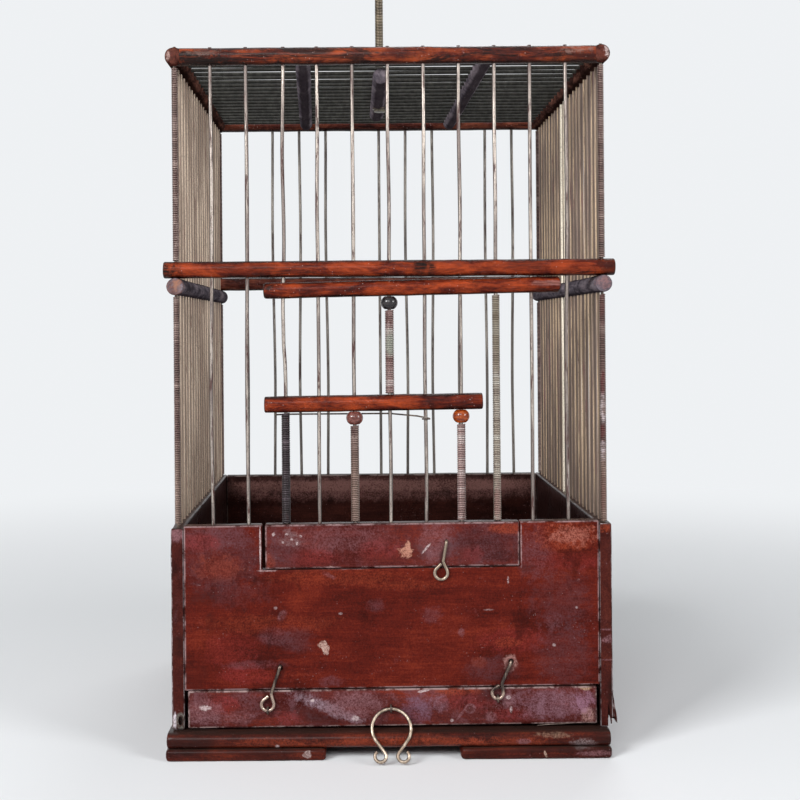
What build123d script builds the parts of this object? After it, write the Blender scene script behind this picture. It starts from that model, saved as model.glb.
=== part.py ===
"""Breeding cage for small birds: a wooden box and tray below, a cage of sticks and wires above.

Millimetres. +Z is up, -Y is the front with the door and the tray, and the feet stand on Z = 0.
The origin is under the middle of the whole outline, from the tips of the tray pull to the back
edge of the base board.
"""

import os
from math import acos, asin, atan2, cos, hypot, radians, sin, tan

from build123d import *

# ---------------------------------------------------------------- driving dimensions
# The four planes of wires
wire_plane_width = 213.0
wire_plane_depth = 210.0
front_bays = 12
side_bays = 20
door_from_line = -3
door_to_line = 3

# Wires
wire_radius = 0.95
corner_wire_radius = 0.75
wire_hole_gap = 0.05
wire_socket = 12.0
wire_stand = 0.6
rail_socket = 3.0
roof_socket = 2.6

# Round sticks
top_stick_radius = 4.15
top_side_stick_radius = 4.6
top_stick_shoulder = 2.4
middle_stick_radius = 4.1
side_stick_radius = 4.2
door_stick_radius = 4.0
roof_bar_radius = 4.0
stick_seat_gap = 0.02
stick_ease = 0.6
stick_dome = 2.8
middle_stick_overhang = 6.1
side_stick_overhang = 4.6
roof_bar_spacing = 92.0

# Heights
foot_height = 5.9
base_thickness = 7.7
front_board_top = 116.4
side_board_top = 115.0
middle_stick_height = 242.5
top_stick_height = 348.9

# Boards
side_board_thickness = 6.5
front_board_thickness = 7.0
back_board_thickness = 7.0
board_ease = 0.5
nose_projection = 7.0
base_width = 218.8
base_offset = -2.1
base_end_ease = 1.6
left_foot_length = 79.0
right_foot_length = 74.5
foot_side_length = 58.0
foot_leg_width = 15.0
foot_margin = 0.6
foot_ease = 2.2

# Tray
tray_front_height = 18.6
tray_front_thickness = 7.0
tray_side_gap = 1.6
tray_run_gap = 0.3
tray_lip_gap = 1.8
tray_head_gap = 0.6
tray_floor_thickness = 3.6
tray_wall_thickness = 4.0
tray_wall_height = 15.0
tray_back_gap = 3.0

# Door
door_strip_height = 22.0
door_strip_gap = 0.4
door_end_gap = 0.35
door_stub_gap = 1.2
hinge_offset = 1.0
hinge_hole_gap = 0.08
door_stub = 10.5
door_strip_reach = 116.0
door_middle_reach = 98.5
door_top_reach = 137.5
door_middle_height = 175.5
door_top_clearance = 0.35
door_top_tilt = 0.9
door_middle_tilt = 0.55
stop_slot_gap = 0.5

# Wound sleeves and glass beads on the wires
sleeve_gap = 0.08
door_sleeve_radius = 2.2
upper_sleeve_radius = 2.3
tall_sleeve_radius = 2.0
corner_sleeve_radius = 1.6
sleeve_end_gap = 0.05
bead_radius = 4.25
bead_half_height = 3.3
bead_flat_radius = 2.0

# Bent wire fittings
eye_wire_radius = 0.8
eye_bend_radius = 1.5
fitting_stand_off = 0.35
eye_closing = 0.72
latch_pivot_x = 27.4
latch_pivot_height = 106.7
latch_hole_gap = 0.08
latch_arm = 8.0
latch_eye_x = 24.6
latch_eye_drop = 15.7
latch_neck = 5.6
latch_eye_radius = 3.2
hook_tip_depth = 2.6
hook_hole_gap = 0.5
left_hook_tip_x = -55.7
left_hook_tip_height = 45.2
left_hook_eye_x = -62.0
left_hook_eye_height = 26.4
left_hook_eye_radius = 3.1
left_hook_neck = 5.4
right_hook_tip_x = 59.1
right_hook_tip_height = 46.9
right_hook_eye_x = 52.2
right_hook_eye_height = 31.2
right_hook_eye_radius = 2.8
right_hook_neck = 5.2
staple_wire_radius = 0.5
staple_gap = 0.2
staple_leg = 4.0
tie_wire_radius = 0.4
tie_wire_bend = 0.7
tie_wire_drop = 1.2
tie_wire_socket = 3.0

# Tray pull
pull_x = -0.8
pull_height = 23.8
pull_wire_radius = 0.85
pull_arch_radius = 9.6
pull_curl_radius = 2.75
pull_curl_spread = 5.6
pull_floor_gap = 0.8
pull_curl_end = 50.0
pull_rest_gap = 0.87

# Hanger
hanger_x = -1.7
hanger_wire_radius = 1.5
hanger_wrap_radius = 2.4
hanger_hole_gap = 0.08
hanger_wrap_height = 64.0
hanger_hook_radius = 9.5
hanger_hook_lean = 55.0
hanger_hook_turn = 232.0
hanger_head_radius = 3.4
hanger_head_thickness = 1.4
washer_radius = 4.4
washer_thickness = 0.8
block_radius = 4.2
block_length = 118.0
block_x = -2.7
block_forward = 22.0

# ---------------------------------------------------------------- worked-out places
wire_hole = wire_radius + wire_hole_gap
corner_wire_hole = corner_wire_radius + wire_hole_gap
hinge_hole = wire_radius + hinge_hole_gap
base_top = foot_height + base_thickness
front_pitch = wire_plane_width / front_bays
side_pitch = wire_plane_depth / side_bays
side_plane = wire_plane_width / 2
side_inner = side_plane - side_board_thickness / 2
side_outer = side_plane + side_board_thickness / 2

# The pull leans on the rounded nose of the base board, its tips just clear of the floor
nose_radius = base_thickness / 2
nose_height = foot_height + nose_radius
pull_stand_off = pull_wire_radius + fitting_stand_off
nose_ahead = nose_projection - nose_radius - pull_stand_off
nose_below = pull_height - nose_height
pull_lean = atan2(nose_ahead, nose_below) + asin(
    (nose_radius + pull_wire_radius + pull_rest_gap) / hypot(nose_ahead, nose_below)
)
pull_length = (pull_height - pull_floor_gap - pull_wire_radius) / cos(pull_lean)

# The middle of the cage lies behind the middle of the outline
face_to_plane = front_board_thickness / 2
front_reach = face_to_plane + pull_stand_off + pull_length * sin(pull_lean) + pull_wire_radius
back_reach = face_to_plane + nose_projection
cage_y = (front_reach - back_reach) / 2
front_y = cage_y - wire_plane_depth / 2
back_y = cage_y + wire_plane_depth / 2
front_face = front_y - front_board_thickness / 2
front_back_face = front_y + front_board_thickness / 2
back_face = back_y + back_board_thickness / 2
base_front = front_face - nose_projection
base_back = back_y + face_to_plane + nose_projection

tray_front_bottom = base_top + tray_lip_gap
tray_front_top = tray_front_bottom + tray_front_height
front_board_bottom = tray_front_top + tray_head_gap
side_stick_height = middle_stick_height - middle_stick_radius - side_stick_radius - stick_seat_gap

hinge_x = door_from_line * front_pitch + hinge_offset
door_strip_bottom = front_board_top - door_strip_height
notch_bottom = door_strip_bottom - door_strip_gap
door_strip_left = hinge_x - door_stub
door_strip_right = hinge_x + door_strip_reach
notch_left = hinge_x - hypot(door_stub, front_board_thickness / 2) - door_stub_gap
notch_right = hinge_x + hypot(door_strip_reach, front_board_thickness / 2) + door_end_gap
door_top_right = hinge_x + door_top_reach
door_top_end_height = middle_stick_height - middle_stick_radius - door_stick_radius - door_top_clearance

fixed_lines = [
    line
    for line in range(1 - front_bays // 2, front_bays // 2)
    if line < door_from_line or line > door_to_line
]
door_lines = range(door_from_line + 1, door_to_line + 1)
middle_rail_lines = [
    line for line in door_lines if line * front_pitch < hinge_x + door_middle_reach - door_stick_radius
]
all_lines = range(1 - front_bays // 2, front_bays // 2)
side_lines = range(1 - side_bays // 2, side_bays // 2)

fixed_places = [(line * front_pitch, front_y) for line in fixed_lines]
door_places = [(line * front_pitch, front_y) for line in door_lines]
hinge_place = [(hinge_x, front_y)]
back_places = [(line * front_pitch, back_y) for line in all_lines]
stop_wire_x = min(x for x, y in fixed_places if x > door_strip_right)
tie_start_x = hinge_x - door_stub / 2
tie_start_y = front_y + door_stick_radius / 2


def side_places(side):
    return [(side * side_plane, cage_y + line * side_pitch) for line in side_lines]


def corner_places(side):
    return [(side * side_plane, front_y), (side * side_plane, back_y)]


def door_stick_height(x, at_x, at_height, tilt):
    """Height of a tilted door stick's centre line at x."""
    return at_height + (x - at_x) * tan(radians(tilt))


def top_door_height(x):
    return door_stick_height(x, door_top_right, door_top_end_height, door_top_tilt)


def middle_door_height(x):
    return door_stick_height(x, 0, door_middle_height, door_middle_tilt)


# ---------------------------------------------------------------- shapes used many times
bottom_up = (Align.CENTER, Align.CENTER, Align.MIN)


def round_stick(start, end, radius, ease):
    """A round stick between two points, with eased ends."""
    run = Vector(*end) - Vector(*start)
    with BuildPart() as stick:
        with BuildSketch(Plane(origin=start, z_dir=run)):
            Circle(radius)
        extrude(amount=run.length)
        fillet(stick.edges().filter_by(GeomType.CIRCLE), ease)
    return stick.part


def upright(places, low, high, radius, mode=Mode.ADD):
    """Upright wires, or the holes for them, from one height to another."""
    with Locations(*[(x, y, low) for x, y in places]):
        Cylinder(radius, high - low, align=bottom_up, mode=mode)


def holes(places, low, high, radius):
    """Upright drilled holes, all alike."""
    upright(places, low, high, radius, Mode.SUBTRACT)


def board(low, high, ease):
    """A squared board between two opposite corners, its long edges eased."""
    size = Vector(*high) - Vector(*low)
    with BuildPart() as plank:
        with Locations(low):
            Box(size.X, size.Y, size.Z, align=(Align.MIN, Align.MIN, Align.MIN))
        chamfer(plank.edges(), ease)
    return plank.part


def bent_wire(path, radius):
    """A round wire that follows a path."""
    with BuildPart() as wire:
        with BuildSketch(Plane(origin=path @ 0, z_dir=path % 0)):
            Circle(radius)
        sweep(path=path)
    return wire.part


def sleeve(places, low, high, outer, core_radius):
    """The body of a closely wound sleeve that is threaded on a wire."""
    upright(places, low + sleeve_end_gap, high - sleeve_end_gap, outer)
    holes(places, low, high, core_radius + sleeve_gap)


def bead(x, middle):
    """A pressed glass bead with flat ends, threaded on a door wire."""
    with BuildPart() as glass:
        with BuildSketch(Plane(origin=(x, front_y, middle), x_dir=(1, 0, 0), z_dir=(0, -1, 0))):
            with BuildLine():
                ThreePointArc(
                    (bead_flat_radius, -bead_half_height),
                    (bead_radius, 0),
                    (bead_flat_radius, bead_half_height),
                )
                Polyline(
                    (bead_flat_radius, bead_half_height),
                    (wire_radius + sleeve_gap, bead_half_height),
                    (wire_radius + sleeve_gap, -bead_half_height),
                    (bead_flat_radius, -bead_half_height),
                )
            make_face()
        revolve(axis=Axis((x, front_y, middle), (0, 0, 1)))
    return glass.part


def eye_path(lead, eye_x, eye_height, eye_radius, neck, plane_y):
    """A wire path: the lead-in points, then a neck and an open, pear-shaped eye in the plane Y."""
    last = Vector(*lead[-1])
    slope = atan2(last.X - eye_x, last.Z - eye_height)
    flank = acos(eye_radius / neck)

    def around(angle, reach):
        return (eye_x + reach * sin(angle), plane_y, eye_height + reach * cos(angle))

    first_side = Vector(*around(slope + flank, eye_radius))
    last_side = Vector(*around(slope - flank, eye_radius))
    throat = Vector(*around(slope, neck))
    with BuildLine() as path:
        FilletPolyline(*lead, throat, first_side, radius=eye_bend_radius)
        ThreePointArc(first_side, around(slope + radians(180), eye_radius), last_side)
        Line(last_side, last_side + (throat - last_side) * eye_closing)
    return path.wire()


def staple_path(x, axis_y, axis_height, bend):
    """A small staple round a wire that turns about X: two legs into the tray front and a round bow."""
    foot_y = front_face + staple_leg
    with BuildLine() as path:
        Line((x, foot_y, axis_height + bend), (x, axis_y, axis_height + bend))
        ThreePointArc(
            (x, axis_y, axis_height + bend),
            (x, axis_y - bend, axis_height),
            (x, axis_y, axis_height - bend),
        )
        Line((x, axis_y, axis_height - bend), (x, foot_y, axis_height - bend))
    return path.wire()


def staple_holes(x, axis_height, bend):
    for height in (axis_height - bend, axis_height + bend):
        with Locations(Location((x, front_face, height), (-90, 0, 0))):
            Cylinder(
                staple_wire_radius + wire_hole_gap,
                staple_leg + wire_hole_gap,
                align=bottom_up,
                mode=Mode.SUBTRACT,
            )


def write_piece(piece, name):
    piece.part.label = name
    export_step(piece.part, f"parts/{name}.step")


os.makedirs("parts", exist_ok=True)

# ---------------------------------------------------------------- base and feet
with BuildPart() as base_board:
    with Locations((base_offset, (base_front + base_back) / 2, foot_height)):
        Box(base_width, base_back - base_front, base_thickness, align=bottom_up)
    fillet(base_board.edges().filter_by(Axis.X), nose_radius - stick_seat_gap)
    end_faces = base_board.faces().sort_by(Axis.X)
    fillet(end_faces[0].edges() + end_faces[-1].edges(), base_end_ease)
write_piece(base_board, "base_board")


def corner_foot(side, end):
    """A flat bracket foot under one corner of the base board."""
    corner_x = base_offset + side * (base_width / 2 + foot_margin)
    corner_y = base_front if end < 0 else base_back
    foot_length = left_foot_length if side < 0 else right_foot_length
    with BuildPart() as foot:
        with BuildSketch():
            with BuildLine():
                Polyline(
                    (corner_x, corner_y),
                    (corner_x - side * foot_length, corner_y),
                    (corner_x - side * foot_length, corner_y - end * foot_leg_width),
                    (corner_x - side * foot_leg_width, corner_y - end * foot_leg_width),
                    (corner_x - side * foot_leg_width, corner_y - end * foot_side_length),
                    (corner_x, corner_y - end * foot_side_length),
                    close=True,
                )
            make_face()
        extrude(amount=foot_height)
        fillet(foot.edges().filter_by(Axis.Z), foot_ease)
        fillet(foot.faces().sort_by(Axis.Z)[-1].edges(), foot_ease / 2)
    return foot


for side, side_name in ((-1, "left"), (1, "right")):
    for end, end_name in ((-1, "front"), (1, "back")):
        write_piece(corner_foot(side, end), f"foot_{end_name}_{side_name}")

# ---------------------------------------------------------------- boards of the box
for side, side_name in ((-1, "left"), (1, "right")):
    with BuildPart() as side_board:
        inner_x = side * side_plane - side_board_thickness / 2
        add(
            board(
                (inner_x, front_face, base_top),
                (inner_x + side_board_thickness, back_face, side_board_top),
                board_ease,
            )
        )
        socket = side_board_top - wire_socket
        holes(side_places(side), socket, side_board_top, wire_hole)
        holes(corner_places(side), socket, side_board_top, corner_wire_hole)
    write_piece(side_board, f"{side_name}_side_board")

with BuildPart() as front_board:
    add(
        board(
            (-side_inner, front_face, front_board_bottom),
            (side_inner, front_back_face, front_board_top),
            board_ease,
        )
    )
    with Locations((notch_left, front_face, notch_bottom)):
        Box(
            notch_right - notch_left,
            front_board_thickness,
            front_board_top - notch_bottom,
            align=(Align.MIN, Align.MIN, Align.MIN),
            mode=Mode.SUBTRACT,
        )
    holes(fixed_places, front_board_top - wire_socket, front_board_top, wire_hole)
    holes(hinge_place, notch_bottom - wire_socket, notch_bottom, wire_hole)
    for tip_x, tip_height in (
        (left_hook_tip_x, left_hook_tip_height),
        (right_hook_tip_x, right_hook_tip_height),
    ):
        with Locations(Location((tip_x, front_face, tip_height), (-90, 0, 0))):
            Cylinder(
                eye_wire_radius + hook_hole_gap,
                hook_tip_depth + hook_hole_gap,
                align=bottom_up,
                mode=Mode.SUBTRACT,
            )
write_piece(front_board, "front_board")

with BuildPart() as back_board:
    add(
        board(
            (-side_inner, back_y - back_board_thickness / 2, base_top),
            (side_inner, back_face, side_board_top),
            board_ease,
        )
    )
    holes(back_places, side_board_top - wire_socket, side_board_top, wire_hole)
write_piece(back_board, "back_board")

# ---------------------------------------------------------------- sticks of the cage
for side, side_name in ((-1, "left"), (1, "right")):
    start_y = front_y - side_stick_overhang
    end_y = back_y + side_stick_overhang
    x = side * side_plane
    with BuildPart() as top_rail:
        add(
            round_stick(
                (x, start_y, top_stick_height),
                (x, end_y, top_stick_height),
                top_side_stick_radius,
                stick_dome,
            )
        )
        under = top_stick_height - top_side_stick_radius
        holes(side_places(side), under, under + rail_socket, wire_hole)
        holes(corner_places(side), under, top_stick_height + top_side_stick_radius, corner_wire_hole)
        inner_edge = x - side * top_side_stick_radius
        for line in side_lines:
            with Locations(
                Location((inner_edge, cage_y + line * side_pitch, top_stick_height), (0, side * 90, 0))
            ):
                Cylinder(wire_radius + wire_hole_gap, roof_socket, align=bottom_up, mode=Mode.SUBTRACT)
    write_piece(top_rail, f"{side_name}_top_rail")

    with BuildPart() as middle_rail:
        add(
            round_stick(
                (x, start_y, side_stick_height),
                (x, end_y, side_stick_height),
                side_stick_radius,
                stick_ease,
            )
        )
        low = side_stick_height - side_stick_radius
        high = side_stick_height + side_stick_radius
        holes(side_places(side), low, high, wire_hole)
        holes(corner_places(side), low, high, corner_wire_hole)
    write_piece(middle_rail, f"{side_name}_middle_rail")

for wall_y, wall, wire_places in (
    (front_y, "front", fixed_places + hinge_place + door_places),
    (back_y, "back", back_places),
):
    with BuildPart() as top_rail:
        end_x = side_plane - top_stick_shoulder
        with BuildSketch(Plane(origin=(-end_x, wall_y, top_stick_height), z_dir=(1, 0, 0))):
            Circle(top_stick_radius)
        extrude(amount=2 * end_x)
        for side in (-1, 1):
            with Locations(Location((side * side_plane, wall_y, top_stick_height), (90, 0, 0))):
                Cylinder(top_side_stick_radius + stick_seat_gap, 4 * top_stick_radius, mode=Mode.SUBTRACT)
        holes(
            wire_places,
            top_stick_height - top_stick_radius,
            top_stick_height + top_stick_radius,
            wire_hole,
        )
    write_piece(top_rail, f"{wall}_top_rail")

    with BuildPart() as middle_rail:
        reach = side_plane + middle_stick_overhang
        add(
            round_stick(
                (-reach, wall_y, middle_stick_height),
                (reach, wall_y, middle_stick_height),
                middle_stick_radius,
                stick_ease,
            )
        )
        low = middle_stick_height - middle_stick_radius
        high = middle_stick_height + middle_stick_radius
        holes(wire_places, low, high, wire_hole)
        corners = [(-side_plane, wall_y), (side_plane, wall_y)]
        holes(corners, low, high, corner_wire_hole)
    write_piece(middle_rail, f"{wall}_middle_rail")

for side, side_name in ((-1, "left"), (1, "right")):
    with BuildPart() as roof_bar:
        x = side * roof_bar_spacing / 2
        bar_end = (x, front_y + top_stick_shoulder, top_stick_height)
        with BuildSketch(Plane(origin=bar_end, z_dir=(0, 1, 0))):
            Circle(roof_bar_radius)
        extrude(amount=wire_plane_depth - 2 * top_stick_shoulder)
        for wall_y in (front_y, back_y):
            with Locations(Location((x, wall_y, top_stick_height), (0, 90, 0))):
                Cylinder(top_stick_radius + stick_seat_gap, 4 * roof_bar_radius, mode=Mode.SUBTRACT)
        for line in side_lines:
            with Locations(Location((x, cage_y + line * side_pitch, top_stick_height), (0, 90, 0))):
                Cylinder(wire_radius + wire_hole_gap, 3 * roof_bar_radius, mode=Mode.SUBTRACT)
    write_piece(roof_bar, f"{side_name}_roof_bar")

block_height = top_stick_height - wire_radius - block_radius - stick_seat_gap
hanger_y = cage_y - side_pitch / 2
with BuildPart() as hanger_block:
    block_middle = cage_y - block_forward
    add(
        round_stick(
            (block_x, block_middle - block_length / 2, block_height),
            (block_x, block_middle + block_length / 2, block_height),
            block_radius,
            stick_ease,
        )
    )
    holes(
        [(hanger_x, hanger_y)],
        block_height - block_radius,
        block_height + block_radius,
        hanger_wire_radius + hanger_hole_gap,
    )
    with Locations((hanger_x, hanger_y, block_height - block_radius)):
        Box(2 * washer_radius, 2 * washer_radius, 2 * washer_thickness, mode=Mode.SUBTRACT)
write_piece(hanger_block, "hanger_block")

# ---------------------------------------------------------------- wires of the cage
wire_end = top_stick_height + top_stick_radius + wire_stand
with BuildPart() as front_wires:
    upright(fixed_places, front_board_top - wire_socket, wire_end, wire_radius)
write_piece(front_wires, "front_wires")

with BuildPart() as front_upper_wires:
    upright(door_places, middle_stick_height - middle_stick_radius, wire_end, wire_radius)
write_piece(front_upper_wires, "front_upper_wires")

with BuildPart() as hinge_wire:
    upright(hinge_place, notch_bottom - wire_socket, wire_end, wire_radius)
write_piece(hinge_wire, "hinge_wire")

with BuildPart() as back_wires:
    upright(back_places, side_board_top - wire_socket, wire_end, wire_radius)
write_piece(back_wires, "back_wires")

for side, side_name in ((-1, "left"), (1, "right")):
    with BuildPart() as side_wires:
        upright(
            side_places(side),
            side_board_top - wire_socket,
            top_stick_height - top_side_stick_radius + rail_socket - wire_hole_gap,
            wire_radius,
        )
    write_piece(side_wires, f"{side_name}_side_wires")

with BuildPart() as roof_wires:
    wire_length = 2 * (side_plane - top_side_stick_radius + roof_socket - wire_hole_gap)
    for line in side_lines:
        with Locations(Location((0, cage_y + line * side_pitch, top_stick_height), (0, 90, 0))):
            Cylinder(wire_radius, wire_length)
write_piece(roof_wires, "roof_wires")

all_corners = corner_places(-1) + corner_places(1)
with BuildPart() as corner_wires:
    corner_end = top_stick_height + top_side_stick_radius + wire_stand
    upright(all_corners, side_board_top - wire_socket, corner_end, corner_wire_radius)
write_piece(corner_wires, "corner_wires")

with BuildPart() as lower_corner_sleeves:
    sleeve(
        all_corners,
        side_board_top,
        side_stick_height - side_stick_radius,
        corner_sleeve_radius,
        corner_wire_radius,
    )
write_piece(lower_corner_sleeves, "lower_corner_sleeves")

with BuildPart() as upper_corner_sleeves:
    sleeve(
        all_corners,
        middle_stick_height + middle_stick_radius,
        top_stick_height - top_side_stick_radius,
        corner_sleeve_radius,
        corner_wire_radius,
    )
write_piece(upper_corner_sleeves, "upper_corner_sleeves")

# ---------------------------------------------------------------- door leaf
with BuildPart() as door_bottom_rail:
    add(
        board(
            (door_strip_left, front_face, door_strip_bottom),
            (door_strip_right, front_back_face, front_board_top),
            board_ease,
        )
    )
    holes(door_places, front_board_top - wire_socket, front_board_top, wire_hole)
    holes(hinge_place, door_strip_bottom, front_board_top, hinge_hole)
    with Locations(Location((latch_pivot_x, front_y, latch_pivot_height), (90, 0, 0))):
        Cylinder(eye_wire_radius + latch_hole_gap, 2 * front_board_thickness, mode=Mode.SUBTRACT)
write_piece(door_bottom_rail, "door_bottom_rail")

with BuildPart() as door_middle_rail:
    left_x = hinge_x - door_stub
    right_x = hinge_x + door_middle_reach
    add(
        round_stick(
            (left_x, front_y, middle_door_height(left_x)),
            (right_x, front_y, middle_door_height(right_x)),
            door_stick_radius,
            stick_ease,
        )
    )
    low = door_middle_height - 2 * door_stick_radius
    high = door_middle_height + 2 * door_stick_radius
    middle_places = [(line * front_pitch, front_y) for line in middle_rail_lines]
    holes(middle_places, low, high, wire_hole)
    holes(hinge_place, low, high, hinge_hole)
    tie_hole_top = middle_door_height(tie_start_x) - door_stick_radius + tie_wire_socket
    holes([(tie_start_x, tie_start_y)], low, tie_hole_top, tie_wire_radius + wire_hole_gap)
write_piece(door_middle_rail, "door_middle_rail")

with BuildPart() as door_top_rail:
    left_x = hinge_x - door_stub
    add(
        round_stick(
            (left_x, front_y, top_door_height(left_x)),
            (door_top_right, front_y, top_door_height(door_top_right)),
            door_stick_radius,
            2 * stick_ease,
        )
    )
    low = top_door_height(left_x) - 2 * door_stick_radius
    for x, y in door_places:
        holes([(x, y)], low, top_door_height(x) + door_stick_radius / 2, wire_hole)
    holes(hinge_place, low, low + 5 * door_stick_radius, hinge_hole)
    with Locations((stop_wire_x, front_y, top_door_height(stop_wire_x))):
        Box(
            2 * (wire_radius + stop_slot_gap),
            wire_radius + stop_slot_gap + door_stick_radius,
            4 * door_stick_radius,
            align=(Align.CENTER, Align.MIN, Align.CENTER),
            mode=Mode.SUBTRACT,
        )
    holes([(stop_wire_x, front_y)], low, low + 5 * door_stick_radius, wire_radius + stop_slot_gap)
write_piece(door_top_rail, "door_top_rail")

with BuildPart() as door_wires:
    for x, y in door_places:
        wire_top = top_door_height(x) + door_stick_radius / 2 - wire_hole_gap
        upright([(x, y)], front_board_top - wire_socket, wire_top, wire_radius)
write_piece(door_wires, "door_wires")

brown_line_x = -front_pitch
amber_line_x = 2 * front_pitch
black_line_x = 0.0
tall_line_x = door_to_line * front_pitch


def under_middle_rail(x):
    return middle_door_height(x) - door_stick_radius / cos(radians(door_middle_tilt)) - sleeve_end_gap


def over_middle_rail(x):
    return middle_door_height(x) + door_stick_radius / cos(radians(door_middle_tilt)) + sleeve_end_gap


def under_top_rail(x):
    return top_door_height(x) - door_stick_radius / cos(radians(door_top_tilt)) - sleeve_end_gap


for name, x, low, high, outer in (
    ("hinge_sleeve", hinge_x, front_board_top, under_middle_rail(hinge_x), door_sleeve_radius),
    (
        "brown_bead_sleeve",
        brown_line_x,
        front_board_top,
        under_middle_rail(brown_line_x) - 2 * bead_half_height,
        door_sleeve_radius,
    ),
    (
        "amber_bead_sleeve",
        amber_line_x,
        front_board_top,
        under_middle_rail(amber_line_x) - 2 * bead_half_height,
        door_sleeve_radius,
    ),
    (
        "black_bead_sleeve",
        black_line_x,
        over_middle_rail(black_line_x),
        under_top_rail(black_line_x) - 2 * bead_half_height,
        upper_sleeve_radius,
    ),
    ("tall_sleeve", tall_line_x, front_board_top, under_top_rail(tall_line_x), tall_sleeve_radius),
):
    with BuildPart() as wound_sleeve:
        sleeve([(x, front_y)], low, high, outer, wire_radius)
    write_piece(wound_sleeve, name)

for name, x, top in (
    ("brown_bead", brown_line_x, under_middle_rail(brown_line_x)),
    ("amber_bead", amber_line_x, under_middle_rail(amber_line_x)),
    ("black_bead", black_line_x, under_top_rail(black_line_x)),
):
    with BuildPart() as threaded_bead:
        add(bead(x, top - bead_half_height))
    write_piece(threaded_bead, name)

# A thin wire that runs behind the beads, from the stub of the middle rail to the fourth door wire
tie_end_x = front_pitch
tie_behind = front_y + bead_radius + 2 * tie_wire_radius
tie_height = under_middle_rail(tie_start_x) - tie_wire_drop
tie_wrap = wire_radius + 2.5 * tie_wire_radius
with BuildLine() as tie_path:
    FilletPolyline(
        (tie_start_x, tie_start_y, tie_height + tie_wire_drop + tie_wire_socket),
        (tie_start_x, tie_start_y, tie_height),
        (tie_start_x + 2 * bead_radius, tie_behind, tie_height),
        (black_line_x, tie_behind, tie_height),
        (tie_end_x - 2 * tie_wrap, front_y + tie_wrap, tie_height - tie_wire_drop),
        (tie_end_x + tie_wrap, front_y + tie_wrap, tie_height - 2 * tie_wire_drop),
        (tie_end_x + tie_wrap, front_y - tie_wrap, tie_height - 2 * tie_wire_drop),
        (tie_end_x - tie_wrap, front_y - tie_wrap, tie_height - 2 * tie_wire_drop),
        radius=tie_wire_bend,
    )
with BuildPart() as tie_wire:
    add(bent_wire(tie_path.wire(), tie_wire_radius))
write_piece(tie_wire, "tie_wire")

# ---------------------------------------------------------------- door latch
eye_plane = front_face - fitting_stand_off - eye_wire_radius
arm_plane = front_back_face + fitting_stand_off + eye_wire_radius
with BuildPart() as door_latch_pin:
    add(
        bent_wire(
            eye_path(
                [
                    (latch_pivot_x, arm_plane, latch_pivot_height + latch_arm),
                    (latch_pivot_x, arm_plane, latch_pivot_height),
                    (latch_pivot_x, eye_plane, latch_pivot_height),
                ],
                latch_eye_x,
                latch_pivot_height - latch_eye_drop,
                latch_eye_radius,
                latch_neck,
                eye_plane,
            ),
            eye_wire_radius,
        )
    )
write_piece(door_latch_pin, "door_latch_pin")

# ---------------------------------------------------------------- tray
tray_half = side_inner - tray_side_gap
tray_bottom = base_top + tray_run_gap
tray_inside_front = front_face + tray_front_thickness
tray_rear = back_y - back_board_thickness / 2 - tray_back_gap
hook_staple_bend = eye_wire_radius + staple_gap + staple_wire_radius
pull_staple_bend = pull_wire_radius + staple_gap + staple_wire_radius
pull_y = front_face - pull_stand_off
left_hook_axis = left_hook_eye_height - left_hook_eye_radius
right_hook_axis = right_hook_eye_height - right_hook_eye_radius

with BuildPart() as tray_front:
    add(
        board(
            (-tray_half, front_face, tray_front_bottom),
            (tray_half, tray_inside_front, tray_front_top),
            board_ease,
        )
    )
    staple_holes(left_hook_eye_x, left_hook_axis, hook_staple_bend)
    staple_holes(right_hook_eye_x, right_hook_axis, hook_staple_bend)
    staple_holes(pull_x, pull_height, pull_staple_bend)
write_piece(tray_front, "tray_front")

with BuildPart() as tray_floor:
    with Locations((-tray_half, tray_inside_front, tray_bottom)):
        Box(
            2 * tray_half,
            tray_rear - tray_inside_front,
            tray_floor_thickness,
            align=(Align.MIN, Align.MIN, Align.MIN),
        )
write_piece(tray_floor, "tray_floor")

wall_bottom = tray_bottom + tray_floor_thickness
wall_top = tray_bottom + tray_wall_height
for side, side_name in ((-1, "left"), (1, "right")):
    with BuildPart() as tray_side:
        outer_x = side * tray_half
        near_x = min(outer_x, outer_x - side * tray_wall_thickness)
        add(
            board(
                (near_x, tray_inside_front, wall_bottom),
                (near_x + tray_wall_thickness, tray_rear, wall_top),
                board_ease,
            )
        )
    write_piece(tray_side, f"tray_{side_name}_side")

with BuildPart() as tray_back:
    inside = tray_half - tray_wall_thickness
    add(
        board(
            (-inside, tray_rear - tray_wall_thickness, wall_bottom),
            (inside, tray_rear, wall_top),
            board_ease,
        )
    )
write_piece(tray_back, "tray_back")

for name, x, axis_y, axis_height, bend in (
    ("left_hook_staple", left_hook_eye_x, eye_plane, left_hook_axis, hook_staple_bend),
    ("right_hook_staple", right_hook_eye_x, eye_plane, right_hook_axis, hook_staple_bend),
    ("pull_staple", pull_x, pull_y, pull_height, pull_staple_bend),
):
    with BuildPart() as staple:
        add(bent_wire(staple_path(x, axis_y, axis_height, bend), staple_wire_radius))
    write_piece(staple, name)

for name, tip_x, tip_height, eye_x, eye_height, eye_radius, neck in (
    (
        "left_tray_hook",
        left_hook_tip_x,
        left_hook_tip_height,
        left_hook_eye_x,
        left_hook_eye_height,
        left_hook_eye_radius,
        left_hook_neck,
    ),
    (
        "right_tray_hook",
        right_hook_tip_x,
        right_hook_tip_height,
        right_hook_eye_x,
        right_hook_eye_height,
        right_hook_eye_radius,
        right_hook_neck,
    ),
):
    with BuildPart() as tray_hook:
        lead = [(tip_x, front_face + hook_tip_depth, tip_height), (tip_x, eye_plane, tip_height)]
        add(bent_wire(eye_path(lead, eye_x, eye_height, eye_radius, neck, eye_plane), eye_wire_radius))
    write_piece(tray_hook, name)

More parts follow.
